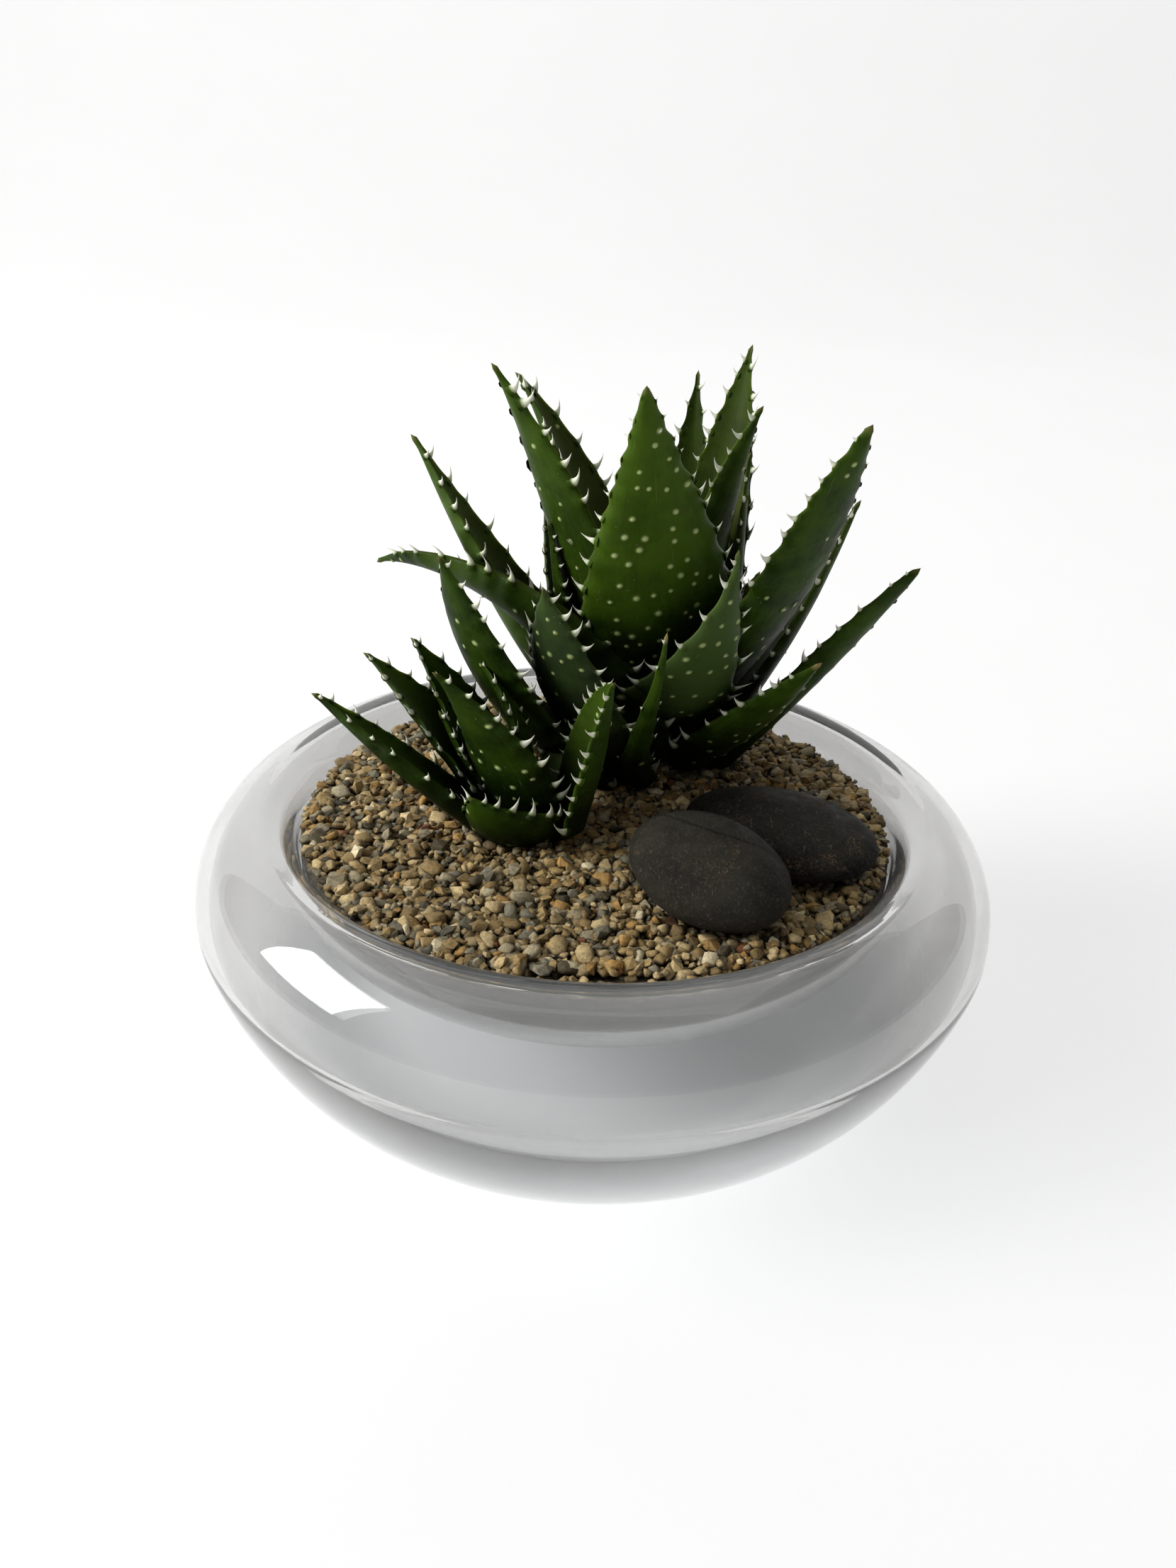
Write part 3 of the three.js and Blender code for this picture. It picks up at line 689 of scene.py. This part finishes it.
def loose_grains():
    """Grains in their own sizes and colours, gathered in small chunks and then
    in a few pieces, because a large bmesh takes in new grains slowly."""
    rng = random.Random(GRAIN_SEED)
    shapes = grain_shapes(rng, GRAIN_SHAPES)
    spots = grain_spots(rng)
    palette = [c for share, c in GRAIN_COLOURS for _ in range(share)]
    chunks = []
    bm = None
    held = 0
    for x, y, z in spots:
        size = rng.lognormvariate(math.log(GRAIN_SIZE), GRAIN_SPREAD)
        size = min(LARGEST_GRAIN, max(SMALLEST_GRAIN, size))
        wide, flat = rng.uniform(0.95, 1.45), rng.uniform(0.55, 0.85)
        stretch = Vector((size * wide, size, size * flat))
        turn = Euler((rng.gauss(0, 0.45), rng.gauss(0, 0.45), rng.uniform(0, 6.3)))
        colour = Vector(rng.choice(palette)) * rng.uniform(0.62, 1.25)
        shape = rng.choice(shapes)
        reach = 0.52 * max(stretch)
        if math.hypot(x, y) > WELL_R - 0.35 - reach or in_pebble(x, y, z):
            continue
        z = min(z, GRAVEL_TOP - 0.5 * reach)
        if bm is None:
            bm, layer = grain_chunk()
        before = len(bm.verts)
        bm.from_mesh(shape)
        bm.verts.ensure_lookup_table()
        place = Matrix.LocRotScale(Vector((x, y, z)) * MM, turn, stretch * MM)
        for v in bm.verts[before:]:
            v.co = place @ v.co
            v[layer] = (*colour, 1)
        held += 1
        if held == CHUNK_GRAINS:
            chunks.append(mesh_of(bm, "chunk"))
            bm = None
            held = 0
    if bm is not None:
        chunks.append(mesh_of(bm, "chunk"))
    share = math.ceil(len(chunks) / GRAIN_PIECES)
    for number in range(GRAIN_PIECES):
        bm, _ = grain_chunk()
        for mesh in chunks[number * share : (number + 1) * share]:
            bm.from_mesh(mesh)
        piece(bm, f"gravel_grains_{number + 1}", GRAVEL, "gravel", smooth=False)


# ---------------------------------------------------------------- pebbles
PEBBLES = [
    {"node": "pebble_front", "at": (25.4, -43.5, 74), "half": (19.9, 14.7, 9.1),
     "turn": (-39, 8, 13), "seed": 3.1, "look": FRONT_PEBBLE},
    {"node": "pebble_back", "at": (44.1, -19.8, 70.9), "half": (24.1, 17.2, 7),
     "turn": (-27, 0, 4), "seed": 9.4, "look": BACK_PEBBLE},
]


# shares of a pebble's size: its wear, and the front one's crease with its ledge
WEAR, FINE_WEAR = 0.035, 0.006
CREASE_WIDTH, CREASE_DEPTH = 0.028, 0.020
LEDGE_WIDTH, LEDGE_DEPTH = 0.04, 0.005


def pebble_turn(row):
    about_z, about_y, about_x = (math.radians(a) for a in row["turn"])
    return (
        Matrix.Rotation(about_z, 3, "Z")
        @ Matrix.Rotation(about_y, 3, "Y")
        @ Matrix.Rotation(about_x, 3, "X")
    )


def pebble(row):
    bm = bmesh.new()
    bmesh.ops.create_icosphere(bm, subdivisions=6, radius=1)
    turn = pebble_turn(row)
    half = Vector(row["half"])
    shift = Vector((row["seed"], 0, 0))
    depth = bm.verts.layers.float.new("crease")
    for v in bm.verts:
        d = v.co.normalized()
        worn = 1 - WEAR * (0.5 + 0.5 * noise.noise(d * 1.3 + shift))
        worn -= FINE_WEAR * (0.5 + 0.5 * noise.noise(d * 6 + shift))
        if row["node"] == "pebble_front":
            above = max(0.0, d.z)
            off = d.y - 0.25 - 0.45 * d.x - 0.5 * d.x * d.x
            v[depth] = math.exp(-((off / CREASE_WIDTH) ** 2)) * above
            ledge = LEDGE_DEPTH * math.tanh(off / LEDGE_WIDTH) * above
            worn -= CREASE_DEPTH * v[depth] + ledge
        local = Vector((d[i] * half[i] * worn for i in range(3)))
        v.co = (Vector(row["at"]) + turn @ local) * MM
    piece(bm, row["node"] + "_stone", row["look"], "pebble", row["node"])


# ---------------------------------------------------------------- leaves
MAIN = {"x": 18, "y": 32, "foot": 48, "top": 94, "r0": 7, "r1": 3.6}
PUP = {"x": -16, "y": -11, "foot": 52, "top": 76, "r0": 5, "r1": 2}

# One row a leaf: the columns named in COLUMNS, then what differs from PLAIN.
# Angles are in degrees. out and up place the leaf's base on its stem.
# A leaf's tone is partly its own lightness and partly painted light and shade, for how brightly
# it is lit.
LEAVES = [
    ("leaf_01", 15, 82, 84, 0, 46, 4.5, 3, 2.4, 91, 0, {}),
    ("leaf_02", 190, 82, 80, 0, 50, 5, 3, 2.4, 89, 0, {}),
    ("leaf_27", 105, 84, 80, 0, 38, 4.5, 3, 2.4, 91, 0, {}),
    ("leaf_03", -106, 71, 60, 5, 90, 18.2, 6.5, 8.8, 89, 26,
     {"wide": 0.365, "taper": 1.45, "full": 0.9, "cup": 0.15, "blunt": 7, "top": 0.35,
      "tone": 0.85, "deep": 1.5, "upper": 0.9}),
    ("leaf_05", 51.2, 82, 74, -0.4, 96, 11.9, 6, 7.1, 77.9, 0.3,
     {"spots": 0.2, "olive": 0.5}),
    ("leaf_06", -92, 20, 90, 63, 66, 13, 5.5, 5, 84, -9,
     {"wide": 0.24, "taper": 1.42, "full": 1.42, "cup": 0.03, "base": 1, "bloom": 0.75,
      "gap": 1.3, "tone": 1.1, "spots": 0.85, "upper": 0.8}),
    ("leaf_07", -24.7, 99.3, 59.7, -25.3, 90, 11.4, 5.8, 5.9, 76, 4.8,
     {"taper": 1.155, "full": 1.03, "cup": 0.23, "spots": 0.4, "upper": 0.8}),
    ("leaf_08", 201, 84, 56, 0.6, 104.6, 14.2, 4.6, 12.8, 73.2, 12,
     {"wide": 0.29, "cup": 0.2, "teeth": 1.4, "tone": 0.1, "spots": 0.9, "upper": 0.12}),
    ("leaf_09", 152, 88, 42, -1, 101, 14.5, 6, 7, 74, 8,
     {"wide": 0.26, "taper": 1.13, "full": 1.13, "cup": 0.4, "teeth": 1.15, "gap": 1.1}),
    ("leaf_04", 199, 76, 79, 0, 62.5, 5, 3, 20, 72, -3, {"base": 0.9}),
    ("leaf_10", 14, 91, 79, 0, 76, 9.5, 5.5, 11, 73, 0, {"cup": 0.28}),
    ("leaf_11", 84, 64, 76, -4, 95, 8, 5, 10, 73, 0,
     {"taper": 1.09, "full": 1.09, "gap": 1.4, "spots": 0.1, "olive": 0.4}),
    ("leaf_12", -36.8, 53, 66.4, -20, 100, 12.6, 5.4, 3.2, 77.5, -1.7,
     {"wide": 0.375, "taper": 1, "full": 0.94, "cup": 0.07, "tip": 0.95, "tone": -0.2,
      "spots": 0.6, "teeth": 1.2, "wave": 1.9, "right": 0.5, "blunt": 3, "top": 0.6}),
    ("leaf_13", 206, 88, -25, -62, 103, 17, 6, 10, 70, 21,
     {"wide": 0.24, "taper": 1.3, "full": 1.3, "cup": 0.4, "base": 0.9, "tone": -0.3,
      "spots": 0.9}),
    ("leaf_14", 125, 60, 52, 0, 80, 11, 5, 9, 72, 0, {}),
    ("leaf_15", 176, 49, 57, 5, 98, 12, 6, 8, 72, -4,
     {"wide": 0.24, "taper": 1.23, "full": 1.23, "cup": 0.5, "gap": 1.25,
      "tone": 0.8, "bloom": 0.4, "spots": 0.15}),
    ("leaf_16", 2, 54, 67, 0, 76, 8, 4.8, 8, 72, 0, {"cup": 0.28, "spots": 0.3}),
    ("leaf_17", 148, 48, 81, 0, 68, 7.5, 4, 12, 70, -3, {"base": 0.9, "tone": -0.35}),
    ("leaf_18", 50, 50, 55, 0, 50, 10, 5, 10, 70, 0, {}),
    ("leaf_19", -130, 41, 72, 7, 69, 12.5, 6, 14, 69, -2,
     {"wide": 0.4, "taper": 1.05, "full": 1.05, "cup": 0.15, "base": 0.75, "bloom": 0.6,
      "tone": -0.5, "upper": 0.8}),
    ("leaf_20", 72, 42, 48, 0, 72, 11, 5, 11, 68, 0, {}),
    ("leaf_21", -48, 41, 45, 1, 57, 10.5, 4.7, 8, 70, -6,
     {"wide": 0.35, "cup": 0.23, "dry": 0.04, "upper": 0.7}),
    ("leaf_22", -16, 51.6, 53.4, -1, 77.3, 6.3, 3.9, 13.4, 65.4, -35,
     {"taper": 0.7, "full": 0.85, "cup": 0.12, "gap": 1.3, "tip": 0.8, "spots": 0.2,
      "blunt": 2, "top": 0.6}),
    ("leaf_23", 206, 38, 65, 26, 86, 17, 6.5, 15, 65, -10,
     {"wide": 0.36, "cup": 0.26, "tone": -0.45, "spots": 0.5, "upper": 0.6}),
    ("leaf_24", 138, 42, 48, 0, 46, 9, 5, 12, 67, 0, {}),
    ("leaf_25", 110, 30, 40, 0, 60, 10, 5, 13, 67, 0, {}),
    ("leaf_26", -109.8, 33.8, 87, 70, 58.8, 4.5, 3, 18.2, 67.6, 2,
     {"wide": 0.06, "taper": 0.9, "full": 0.2, "cup": 0.21, "base": 1, "tip": 0.35,
      "dry": 0.04, "teeth": 0.35, "gap": 1.6, "spots": 0.3, "tone": -0.1}),
]

# As above, a tone is partly painted light and shade.
PUP_LEAVES = [
    ("pup_leaf_01", 177, 59, 61, 2, 31, 3, 2.6, 6, 68, 3, {"base": 0.9}),
    ("pup_leaf_02", 148, 105, 28, 0, 47, 3.2, 3.2, 1, 68, 20, {"cup": 0.35, "base": 0.9}),
    ("pup_leaf_03", -131, 73, 46, -20, 51, 11.5, 5.5, 0, 68, 13,
     {"wide": 0.28, "taper": 1.19, "full": 1.19, "cup": 0.15, "base": 0.88, "gap": 0.8,
      "tone": -0.3, "upper": 0.2}),
    ("pup_leaf_04", 152, 64, 42, 4, 49, 8, 4.6, 4, 69, -1, {"base": 0.9, "spots": 0.4}),
    ("pup_leaf_05", -41.5, 81, 55, -8, 46, 9.6, 4, 8.8, 69.2, 52,
     {"wide": 0.45, "taper": 1.04, "full": 0.9, "cup": 0.44, "base": 0.72, "tone": 0.2,
      "gap": 0.75, "teeth": 0.8, "fold": 0.5, "spots": 0.4}),
    ("pup_leaf_06", 162, 52, 33, 3, 53, 8, 4.6, 4, 69, 0, {"base": 0.9, "spots": 0.3}),
    ("pup_leaf_07", 55, 62, 62, 0, 26, 6, 3, 5, 67, 0, {}),
    ("pup_leaf_08", 188, 41, 36, -4, 55, 6.5, 4.2, 7, 67, 7,
     {"wide": 0.35, "taper": 1, "full": 1, "cup": 0.45, "base": 0.9, "gap": 1.3,
      "tone": -0.4, "spots": 0.25, "upper": 1.0}),
    ("pup_leaf_09", -112, 8, 48, -33, 28, 13, 3.3, -4, 68, 20,
     {"wide": 0.29, "taper": 1.14, "full": 1.14, "cup": 0.44, "base": 0.92, "gap": 0.6,
      "spots": 0.7}),
]

COLUMNS = (
    "name", "az", "rise", "rise_end", "bend", "length", "half", "thick", "out", "up", "roll",
)
PLAIN = {
    # outline: widest place, taper and fullness, width at the base and the tip
    "wide": 0.3, "taper": 1.11, "full": 1.11, "base": 0.8, "tip": 0.6, "blunt": 0.0,
    # hollow of the inner face, and how far the margin's teeth fold inwards
    "cup": 0.3, "fold": 0.0,
    # skin: lightness, partly painted light and shade for how each leaf is lit; painted shade at
    # the base; pale bloom, olive inner face, dry tip
    "tone": 0.0, "deep": 1.0, "bloom": 0.0, "olive": 1.0, "dry": 0.0,
    # teeth: size, distance, bulge of the margin, share on the right, share at the tip
    "teeth": 1.0, "gap": 1.0, "wave": 1.0, "right": 1.0, "top": 1.0,
    # tubercles: share of all, and share on the upper half
    "spots": 1.0, "upper": 0.3,
}
MAIN_SEED, PUP_SEED = 101, 301
STATIONS = 150
BACK_ROUND = 0.55
BLADE_AROUND, BLADE_RINGS, BLADE_RINGS_PER_MM = 32, 26, 1.15
LEAN_TIP = 0.8
TOOTH_STEP, TOOTH_STEP_SHARE, TIP_CROWDING = 5.8, 36, 0.42
LAST_TOOTH, LAST_SPOT = 0.975, 0.93
BULGE, BULGE_REACH, HOLLOW = 0.95, 1.9, 0.18
# skin: shift of every tone, painted shade darkening the base and its reach, lightening at the
# tip
TONE_SHIFT, BASE_PAINTED_SHADE, BASE_REACH, TIP_LIGHT = -0.12, 1.9, 0.42, 0.15
OLIVE_FADE = 0.4
DRY_POINT = 0.98


def rising(value, low, high):
    """0 up to low, 1 from high on, and even in between."""
    return min(1.0, max(0.0, (value - low) / (high - low)))


class Blade:
    """The middle line, margins and skin of one leaf, in millimetres."""

    def __init__(self, row, stem, seed):
        for key, value in {**PLAIN, **dict(zip(COLUMNS, row)), **row[-1]}.items():
            setattr(self, key, value)
        self.rng = random.Random(seed)
        self.seed = seed
        turn = math.radians(self.az)
        x = stem["x"] + self.out * math.cos(turn)
        y = stem["y"] + self.out * math.sin(turn)
        at = Vector((x, y, self.up))
        self.line = [at.copy()]
        for i in range(STATIONS):
            at = at + self.heading((i + 0.5) / STATIONS) * (self.length / STATIONS)
            self.line.append(at.copy())
        self.teeth_at = {1: self.tooth_places(), -1: self.tooth_places()}

    def heading(self, s):
        rise = math.radians(self.rise + (self.rise_end - self.rise) * s)
        turn = math.radians(self.az + self.bend * s)
        level = math.cos(rise)
        return Vector((level * math.cos(turn), level * math.sin(turn), math.sin(rise)))

    def tooth_places(self):
        """Places along one margin: wider apart at the base than at the tip."""
        step = (TOOTH_STEP + self.length / TOOTH_STEP_SHARE) * self.gap
        s = 0.05 + 0.05 * self.rng.random()
        found = []
        while s < LAST_TOOTH:
            found.append(s)
            s += step * (1 - TIP_CROWDING * s) * self.rng.uniform(0.6, 1.4) / self.length
        return found

    def profile(self, s):
        """The share of the full width at s, which runs from 0 at the base to 1."""
        if s < self.wide:
            return self.base + (1 - self.base) * math.sin(s / self.wide * math.pi / 2)
        x = (s - self.wide) / (1 - self.wide)
        return max(0.0, 1 - x) ** self.taper * (1 + self.full * x)

    def ring(self, s):
        """The middle point at s, three directions, and half width, thickness, cup."""
        s = min(1.0, max(0.0, s))
        place = s * STATIONS
        low = min(int(place), STATIONS - 1)
        at = self.line[low].lerp(self.line[low + 1], place - low)
        along = self.heading(s)
        turn = math.radians(self.az + self.bend * s)
        level = Vector((-math.sin(turn), math.cos(turn), 0))
        inner = along.cross(level)
        roll = math.radians(self.roll)
        side = level * math.cos(roll) + inner * math.sin(roll)
        face = inner * math.cos(roll) - level * math.sin(roll)
        bluntness = self.blunt * s**8 * math.sqrt(1 - s)
        half = max(self.half * self.profile(s) + bluntness, self.tip)
        thick = LEAN_TIP + (self.thick - LEAN_TIP) * (1 - s**1.3)
        thick = min(thick, 1.1 * half + 0.4)
        thick = max(min(thick, 2.2 * half), 1.6 * self.tip)
        return at, along, side, face, half, thick, self.cup * half

    def swell(self, s, hand):
        """How far the margin bulges at a tooth, and draws in between teeth."""
        near = min((abs(s - t) for t in self.teeth_at[hand]), default=1) * self.length
        size = min(1.0, self.half * self.profile(s) / 4) * (self.right if hand > 0 else 1)
        return size * self.wave * (BULGE * math.exp(-((near / BULGE_REACH) ** 2)) - HOLLOW)

    def skin(self, s, u, back, lift=0.0):
        """A point of the skin and the way that it faces."""
        at, _, side, face, half, thick, cup = self.ring(s)
        if abs(u) > 0.5:
            half += self.swell(s, 1 if u > 0 else -1) * (abs(u) - 0.5) * 2
        dome = max(0.0, 1 - u * u)
        if back:
            depth = -(cup + thick) * dome**BACK_ROUND
            slope = (cup + thick) * 2 * BACK_ROUND * u * max(dome, 0.02) ** (BACK_ROUND - 1)
            normal = (side * slope - face * half).normalized()
        else:
            depth = -cup * dome
            normal = (face * half - side * (2 * cup * u)).normalized()
        return at + side * (u * half) + face * depth + normal * lift, normal


SPOT_AROUND, SPOT_RINGS = 8, 4
# a tubercle from its top to its skirt
SPOT_REACH = (0.0, 0.45, 0.85, 1.35, 2.1)
SPOT_LIFT = (1.0, 0.85, 0.38, 0.10, -0.12)
SPOT_PALE = (1.0, 0.95, 0.62, 0.18, 0.0)
# rows of tubercles: on the back, distance of rows, distance in a row, chance
SPOT_ROWS = ((True, 5.2, 4.9, 0.80), (False, 9.0, 6.5, 0.30))
PRICKLE_SHARE = 0.06
TOOTH_AROUND, TOOTH_RINGS = 8, 6
TOOTH_SUNK = 0.32
TALLEST_TOOTH, TOOTH_SHRINK = 4.7, 0.42
SPOT_SHEET = mesh_of(sleeve(SPOT_AROUND, SPOT_RINGS), "sleeve")
TOOTH_SHEET = mesh_of(sleeve(TOOTH_AROUND, TOOTH_RINGS), "sleeve")


class LeafMaker:
    """Builds a leaf's blade, then its tubercles and its teeth."""

    def __init__(self, row, stem, seed):
        self.blade = Blade(row, stem, seed)
        steps = max(BLADE_RINGS, int(self.blade.length * BLADE_RINGS_PER_MM))
        self.bm = sleeve(BLADE_AROUND, steps)
        layers = self.bm.verts.layers.float_vector
        self.parts = layers.new("parts")
        self.mood = layers.new("mood")
        self.where = layers.new("blade")
        self.shape_blade()

    def mark(self, v, s, u, back, horn=0.0, pale=0.0):
        """Writes on a vertex what the skin's material reads there."""
        blade = self.blade
        dry = 0.5 * rising(s, DRY_POINT, 1.0)
        if blade.dry:
            dry = max(dry, rising(s, 1 - blade.dry, 1 - 0.65 * blade.dry))
        v[self.parts] = (horn, pale, dry)
        # painted shade: the skin darkens towards the leaf's base
        low = max(0.0, 1 - s / BASE_REACH)
        high = max(0.0, 2 * s - 1)
        tone = blade.tone + TONE_SHIFT - BASE_PAINTED_SHADE * blade.deep * low + TIP_LIGHT * high
        inner = 0.0 if back else blade.olive * (1.0 - OLIVE_FADE * abs(u))
        v[self.mood] = (tone, blade.bloom, inner)
        v[self.where] = (u * blade.half * MM, s * blade.length * MM, blade.seed * 0.37)

    def shape_blade(self):
        for v in self.bm.verts:
            turn = 2 * math.pi * v.co.x
            s = v.co.y
            u = math.cos(turn)
            back = math.sin(turn) < -1e-6
            end = s < 1e-6 or s > 1 - 1e-6
            if end:
                u = 0.0
            point, normal = self.blade.skin(s, u, back)
            if end:
                at, along, _, face, _, thick, cup = self.blade.ring(s)
                point = at - face * (cup + 0.5 * thick)
                if s > 0.5:
                    point += along * 0.6
            else:
                lump = noise.noise(Vector((u * 1.6, s * 7, self.blade.seed * 1.7)))
                point += normal * lump * 0.12
            self.mark(v, s, u, back)
            v.co = point * MM

    def added(self, sheet):
        """The new vertices of one more copy of a template sleeve."""
        before = len(self.bm.verts)
        self.bm.verts.ensure_lookup_table()
        self.bm.from_mesh(sheet)
        self.bm.verts.ensure_lookup_table()
        return self.bm.verts[before:]

    def tubercle(self, s, u, back, radius, height):
        """A pale dome with a low skirt that runs out into the skin."""
        blade = self.blade
        half = blade.ring(s)[4]
        for v in self.added(SPOT_SHEET):
            turn = 2 * math.pi * v.co.x
            row = round(v.co.y * SPOT_RINGS)
            reach = radius * SPOT_REACH[row]
            du = reach * math.cos(turn) / half
            ds = reach * math.sin(turn) / blade.length
            spot_u = min(0.97, max(-0.97, u + du))
            point, _ = blade.skin(s + ds, spot_u, back, height * SPOT_LIFT[row])
            self.mark(v, s + ds, spot_u, back, 0.0, SPOT_PALE[row])
            v.co = point * MM

    def spike(self, s, u, root, out, height, hook):
        """A horn spike, wide along the leaf and bent towards its tip."""
        along = self.blade.ring(s)[1]
        over = (along - out * along.dot(out)).normalized()
        thin = out.cross(over)
        long_root = 0.17 * height + 0.32
        wide_root = 0.11 * height + 0.22
        for v in self.added(TOOTH_SHEET):
            turn = 2 * math.pi * v.co.x
            t = v.co.y * (1 + TOOTH_SUNK) - TOOTH_SUNK
            left = max(0.0, 1 - max(t, -TOOTH_SUNK))
            if v.co.y > 0.999:
                left = 0.0
            flare = 0.38 * left**2.8 + 0.62 * left
            spine = root + out * (height * t) + over * (hook * height * max(0.0, t) ** 2)
            point = spine + over * (math.cos(turn) * long_root * flare)
            point += thin * (math.sin(turn) * wide_root * flare)
            horn = rising(t, -0.12, 0.22)
            self.mark(v, s, u, True, horn, 0.0)
            v.co = point * MM

    def tooth(self, s, hand, height):
        """A tooth of the margin, in the margin's own tangent plane."""
        blade = self.blade
        at, along, side, face, half, thick, cup = blade.ring(s)
        half += blade.swell(s, hand)
        root = at + side * (hand * half) - face * (0.10 * thick)
        lean = blade.rng.uniform(-0.05, 0.42)
        rise = math.atan2(2 * cup, half) + blade.fold + blade.rng.uniform(0.05, 0.40)
        out = (side * hand * math.cos(rise) + face * math.sin(rise) + along * lean).normalized()
        self.spike(s, hand, root, out, height, blade.rng.uniform(0.35, 0.75))

    def prickle(self, s, u, back):
        """A small spike on top of a tubercle."""
        blade = self.blade
        root, normal = blade.skin(s, u, back)
        out = (normal + 0.3 * blade.ring(s)[1]).normalized()
        self.spike(s, u, root, out, blade.rng.uniform(1.0, 1.6), 0.7)

    def grow_teeth(self):
        blade = self.blade
        for hand in (1, -1):
            for s in blade.teeth_at[hand]:
                height = min(TALLEST_TOOTH, 2.7 + 0.15 * blade.half) * (1 - TOOTH_SHRINK * s)
                height *= blade.rng.uniform(0.6, 1.25)
                height *= 1 - (1 - blade.top) * rising(s, 0.55, 0.85)
                height *= blade.right if hand > 0 else 1
                self.tooth(s, hand, height * blade.teeth)

    def grow_tubercles(self):
        """Loose cross rows, close together on the back and few on the inner face."""
        blade = self.blade
        rng = blade.rng
        for back, step, gap, chance in SPOT_ROWS:
            s = 0.10 + 0.04 * rng.random()
            row = 0
            while s < LAST_SPOT:
                half = blade.ring(s)[4]
                count = int(2 * half * 0.84 / gap)
                for k in range(-count, count + 1):
                    across = (k + 0.5 * (row % 2)) * gap + rng.uniform(-1.3, 1.3)
                    u = across / half
                    place = s + rng.uniform(-1.6, 1.6) / blade.length
                    size = rng.uniform(0.52, 0.84) * (1 - 0.25 * s)
                    lift = rng.uniform(0.20, 0.34)
                    fade = 1 - (1 - blade.upper) * rising(s, 0.3, 0.65)
                    keep = rng.random() < chance * blade.spots * fade
                    if keep and abs(u) < 0.84 and 0.05 < place < 0.95:
                        self.tubercle(place, u, back, size, lift)
                        if rng.random() < PRICKLE_SHARE:
                            self.prickle(place, u, back)
                s += step * (1 - 0.25 * s) / blade.length
                row += 1

    def finish(self, material, slot):
        closed(self.bm, 1e-7)
        piece(self.bm, self.blade.name + "_blade", material, slot, self.blade.name)


def grow_leaf(row, stem, seed, material, slot):
    maker = LeafMaker(row, stem, seed)
    maker.grow_tubercles()
    maker.grow_teeth()
    maker.finish(material, slot)


STEM_AROUND, STEM_RINGS = 24, 20


def stem(name, row):
    """A fibrous stem, ringed by the scars of old leaves."""
    bm = sleeve(STEM_AROUND, STEM_RINGS)
    for v in bm.verts:
        turn = 2 * math.pi * v.co.x
        t = v.co.y
        wide = row["r0"] + (row["r1"] - row["r0"]) * t
        lump = abs(noise.noise(Vector((turn, t * 9, 1))))
        wide *= 0.97 - 0.05 * abs(math.sin(t * 14)) - 0.03 * lump
        if t < 1e-6 or t > 1 - 1e-6:
            wide = 0.0
        x = row["x"] + wide * math.cos(turn)
        y = row["y"] + wide * math.sin(turn)
        z = row["foot"] + (row["top"] - row["foot"]) * t
        v.co = Vector((x, y, z)) * MM
    piece(closed(bm), name + "_core", STEM, "stem", name)


# ---------------------------------------------------------------- the part
glass_bowl()
silt_fill()
gravel_bed()
loose_grains()
for row in PEBBLES:
    pebble(row)
stem("main_stem", MAIN)
stem("pup_stem", PUP)
for number, row in enumerate(LEAVES):
    grow_leaf(row, MAIN, MAIN_SEED + number, LEAF, "leaf")
for number, row in enumerate(PUP_LEAVES):
    grow_leaf(row, PUP, PUP_SEED + number, PUP_LEAF, "pup_leaf")


# ---------------------------------------------------------------- studio
FLOOR_HALF_WIDTH, FLOOR_NEAR_Y, FLOOR_FAR_Y = 3.5, -3.0, 1.4
CURVE_R, CURVE_STEPS, WALL_TOP = 0.9, 12, 3.2
FLOOR_BELOW = 0.0003
WORLD_LIGHT = 0.18


def sweep():
    """A pale floor that curves up into a wall behind the part."""
    line = [(FLOOR_NEAR_Y, 0.0), (-1.0, 0.0), (0.0, 0.0), (FLOOR_FAR_Y, 0.0)]
    for i in range(1, CURVE_STEPS + 1):
        turn = math.pi / 2 * i / CURVE_STEPS
        y = FLOOR_FAR_Y + CURVE_R * math.sin(turn)
        line.append((y, CURVE_R - CURVE_R * math.cos(turn)))
    line.append((FLOOR_FAR_Y + CURVE_R, WALL_TOP))
    bm = bmesh.new()
    spine = [bm.verts.new((-FLOOR_HALF_WIDTH, y, z - FLOOR_BELOW)) for y, z in line]
    edges = [bm.edges.new(pair) for pair in zip(spine, spine[1:])]
    drawn = bmesh.ops.extrude_edge_only(bm, edges=edges)["geom"]
    across = [v for v in drawn if isinstance(v, bmesh.types.BMVert)]
    bmesh.ops.translate(bm, verts=across, vec=(2 * FLOOR_HALF_WIDTH, 0, 0))
    bmesh.ops.recalc_face_normals(bm, faces=bm.faces)
    shown(bm, "floor", floor_look())


def softbox(name, place, target, size, power, colour=(1, 1, 1)):
    """A flat lamp at a place in metres, turned towards its target."""
    data = bpy.data.lights.new(name, "AREA")
    data.shape = "RECTANGLE"
    data.size, data.size_y = size
    data.energy = power
    data.color = colour
    lamp = bpy.data.objects.new(name, data)
    lamp.location = place
    lamp.rotation_euler = (Vector(target) - Vector(place)).to_track_quat("-Z", "Y").to_euler()
    bpy.context.scene.collection.objects.link(lamp)


def studio():
    world = bpy.data.worlds.new("studio")
    world.use_nodes = True
    shade = world.node_tree.nodes["Background"]
    shade.inputs["Color"].default_value = (1.0, 1.0, 1.0, 1)
    shade.inputs["Strength"].default_value = WORLD_LIGHT
    bpy.context.scene.world = world
    plant = (0, 0, 0.08)
    softbox("top_softbox", (0.0, 0.5, 2.3), (0, 0.3, 0.05), (2.2, 1.8), 9)
    softbox("key_softbox", (-2.05, -0.35, 1.15), plant, (1.2, 1.2), 54)
    softbox("side_softbox", (-1.5, -0.5, 0.85), plant, (0.6, 0.8), 4, (0.95, 0.98, 1.0))
    bpy.context.scene.view_settings.view_transform = "Standard"


sweep()
studio()
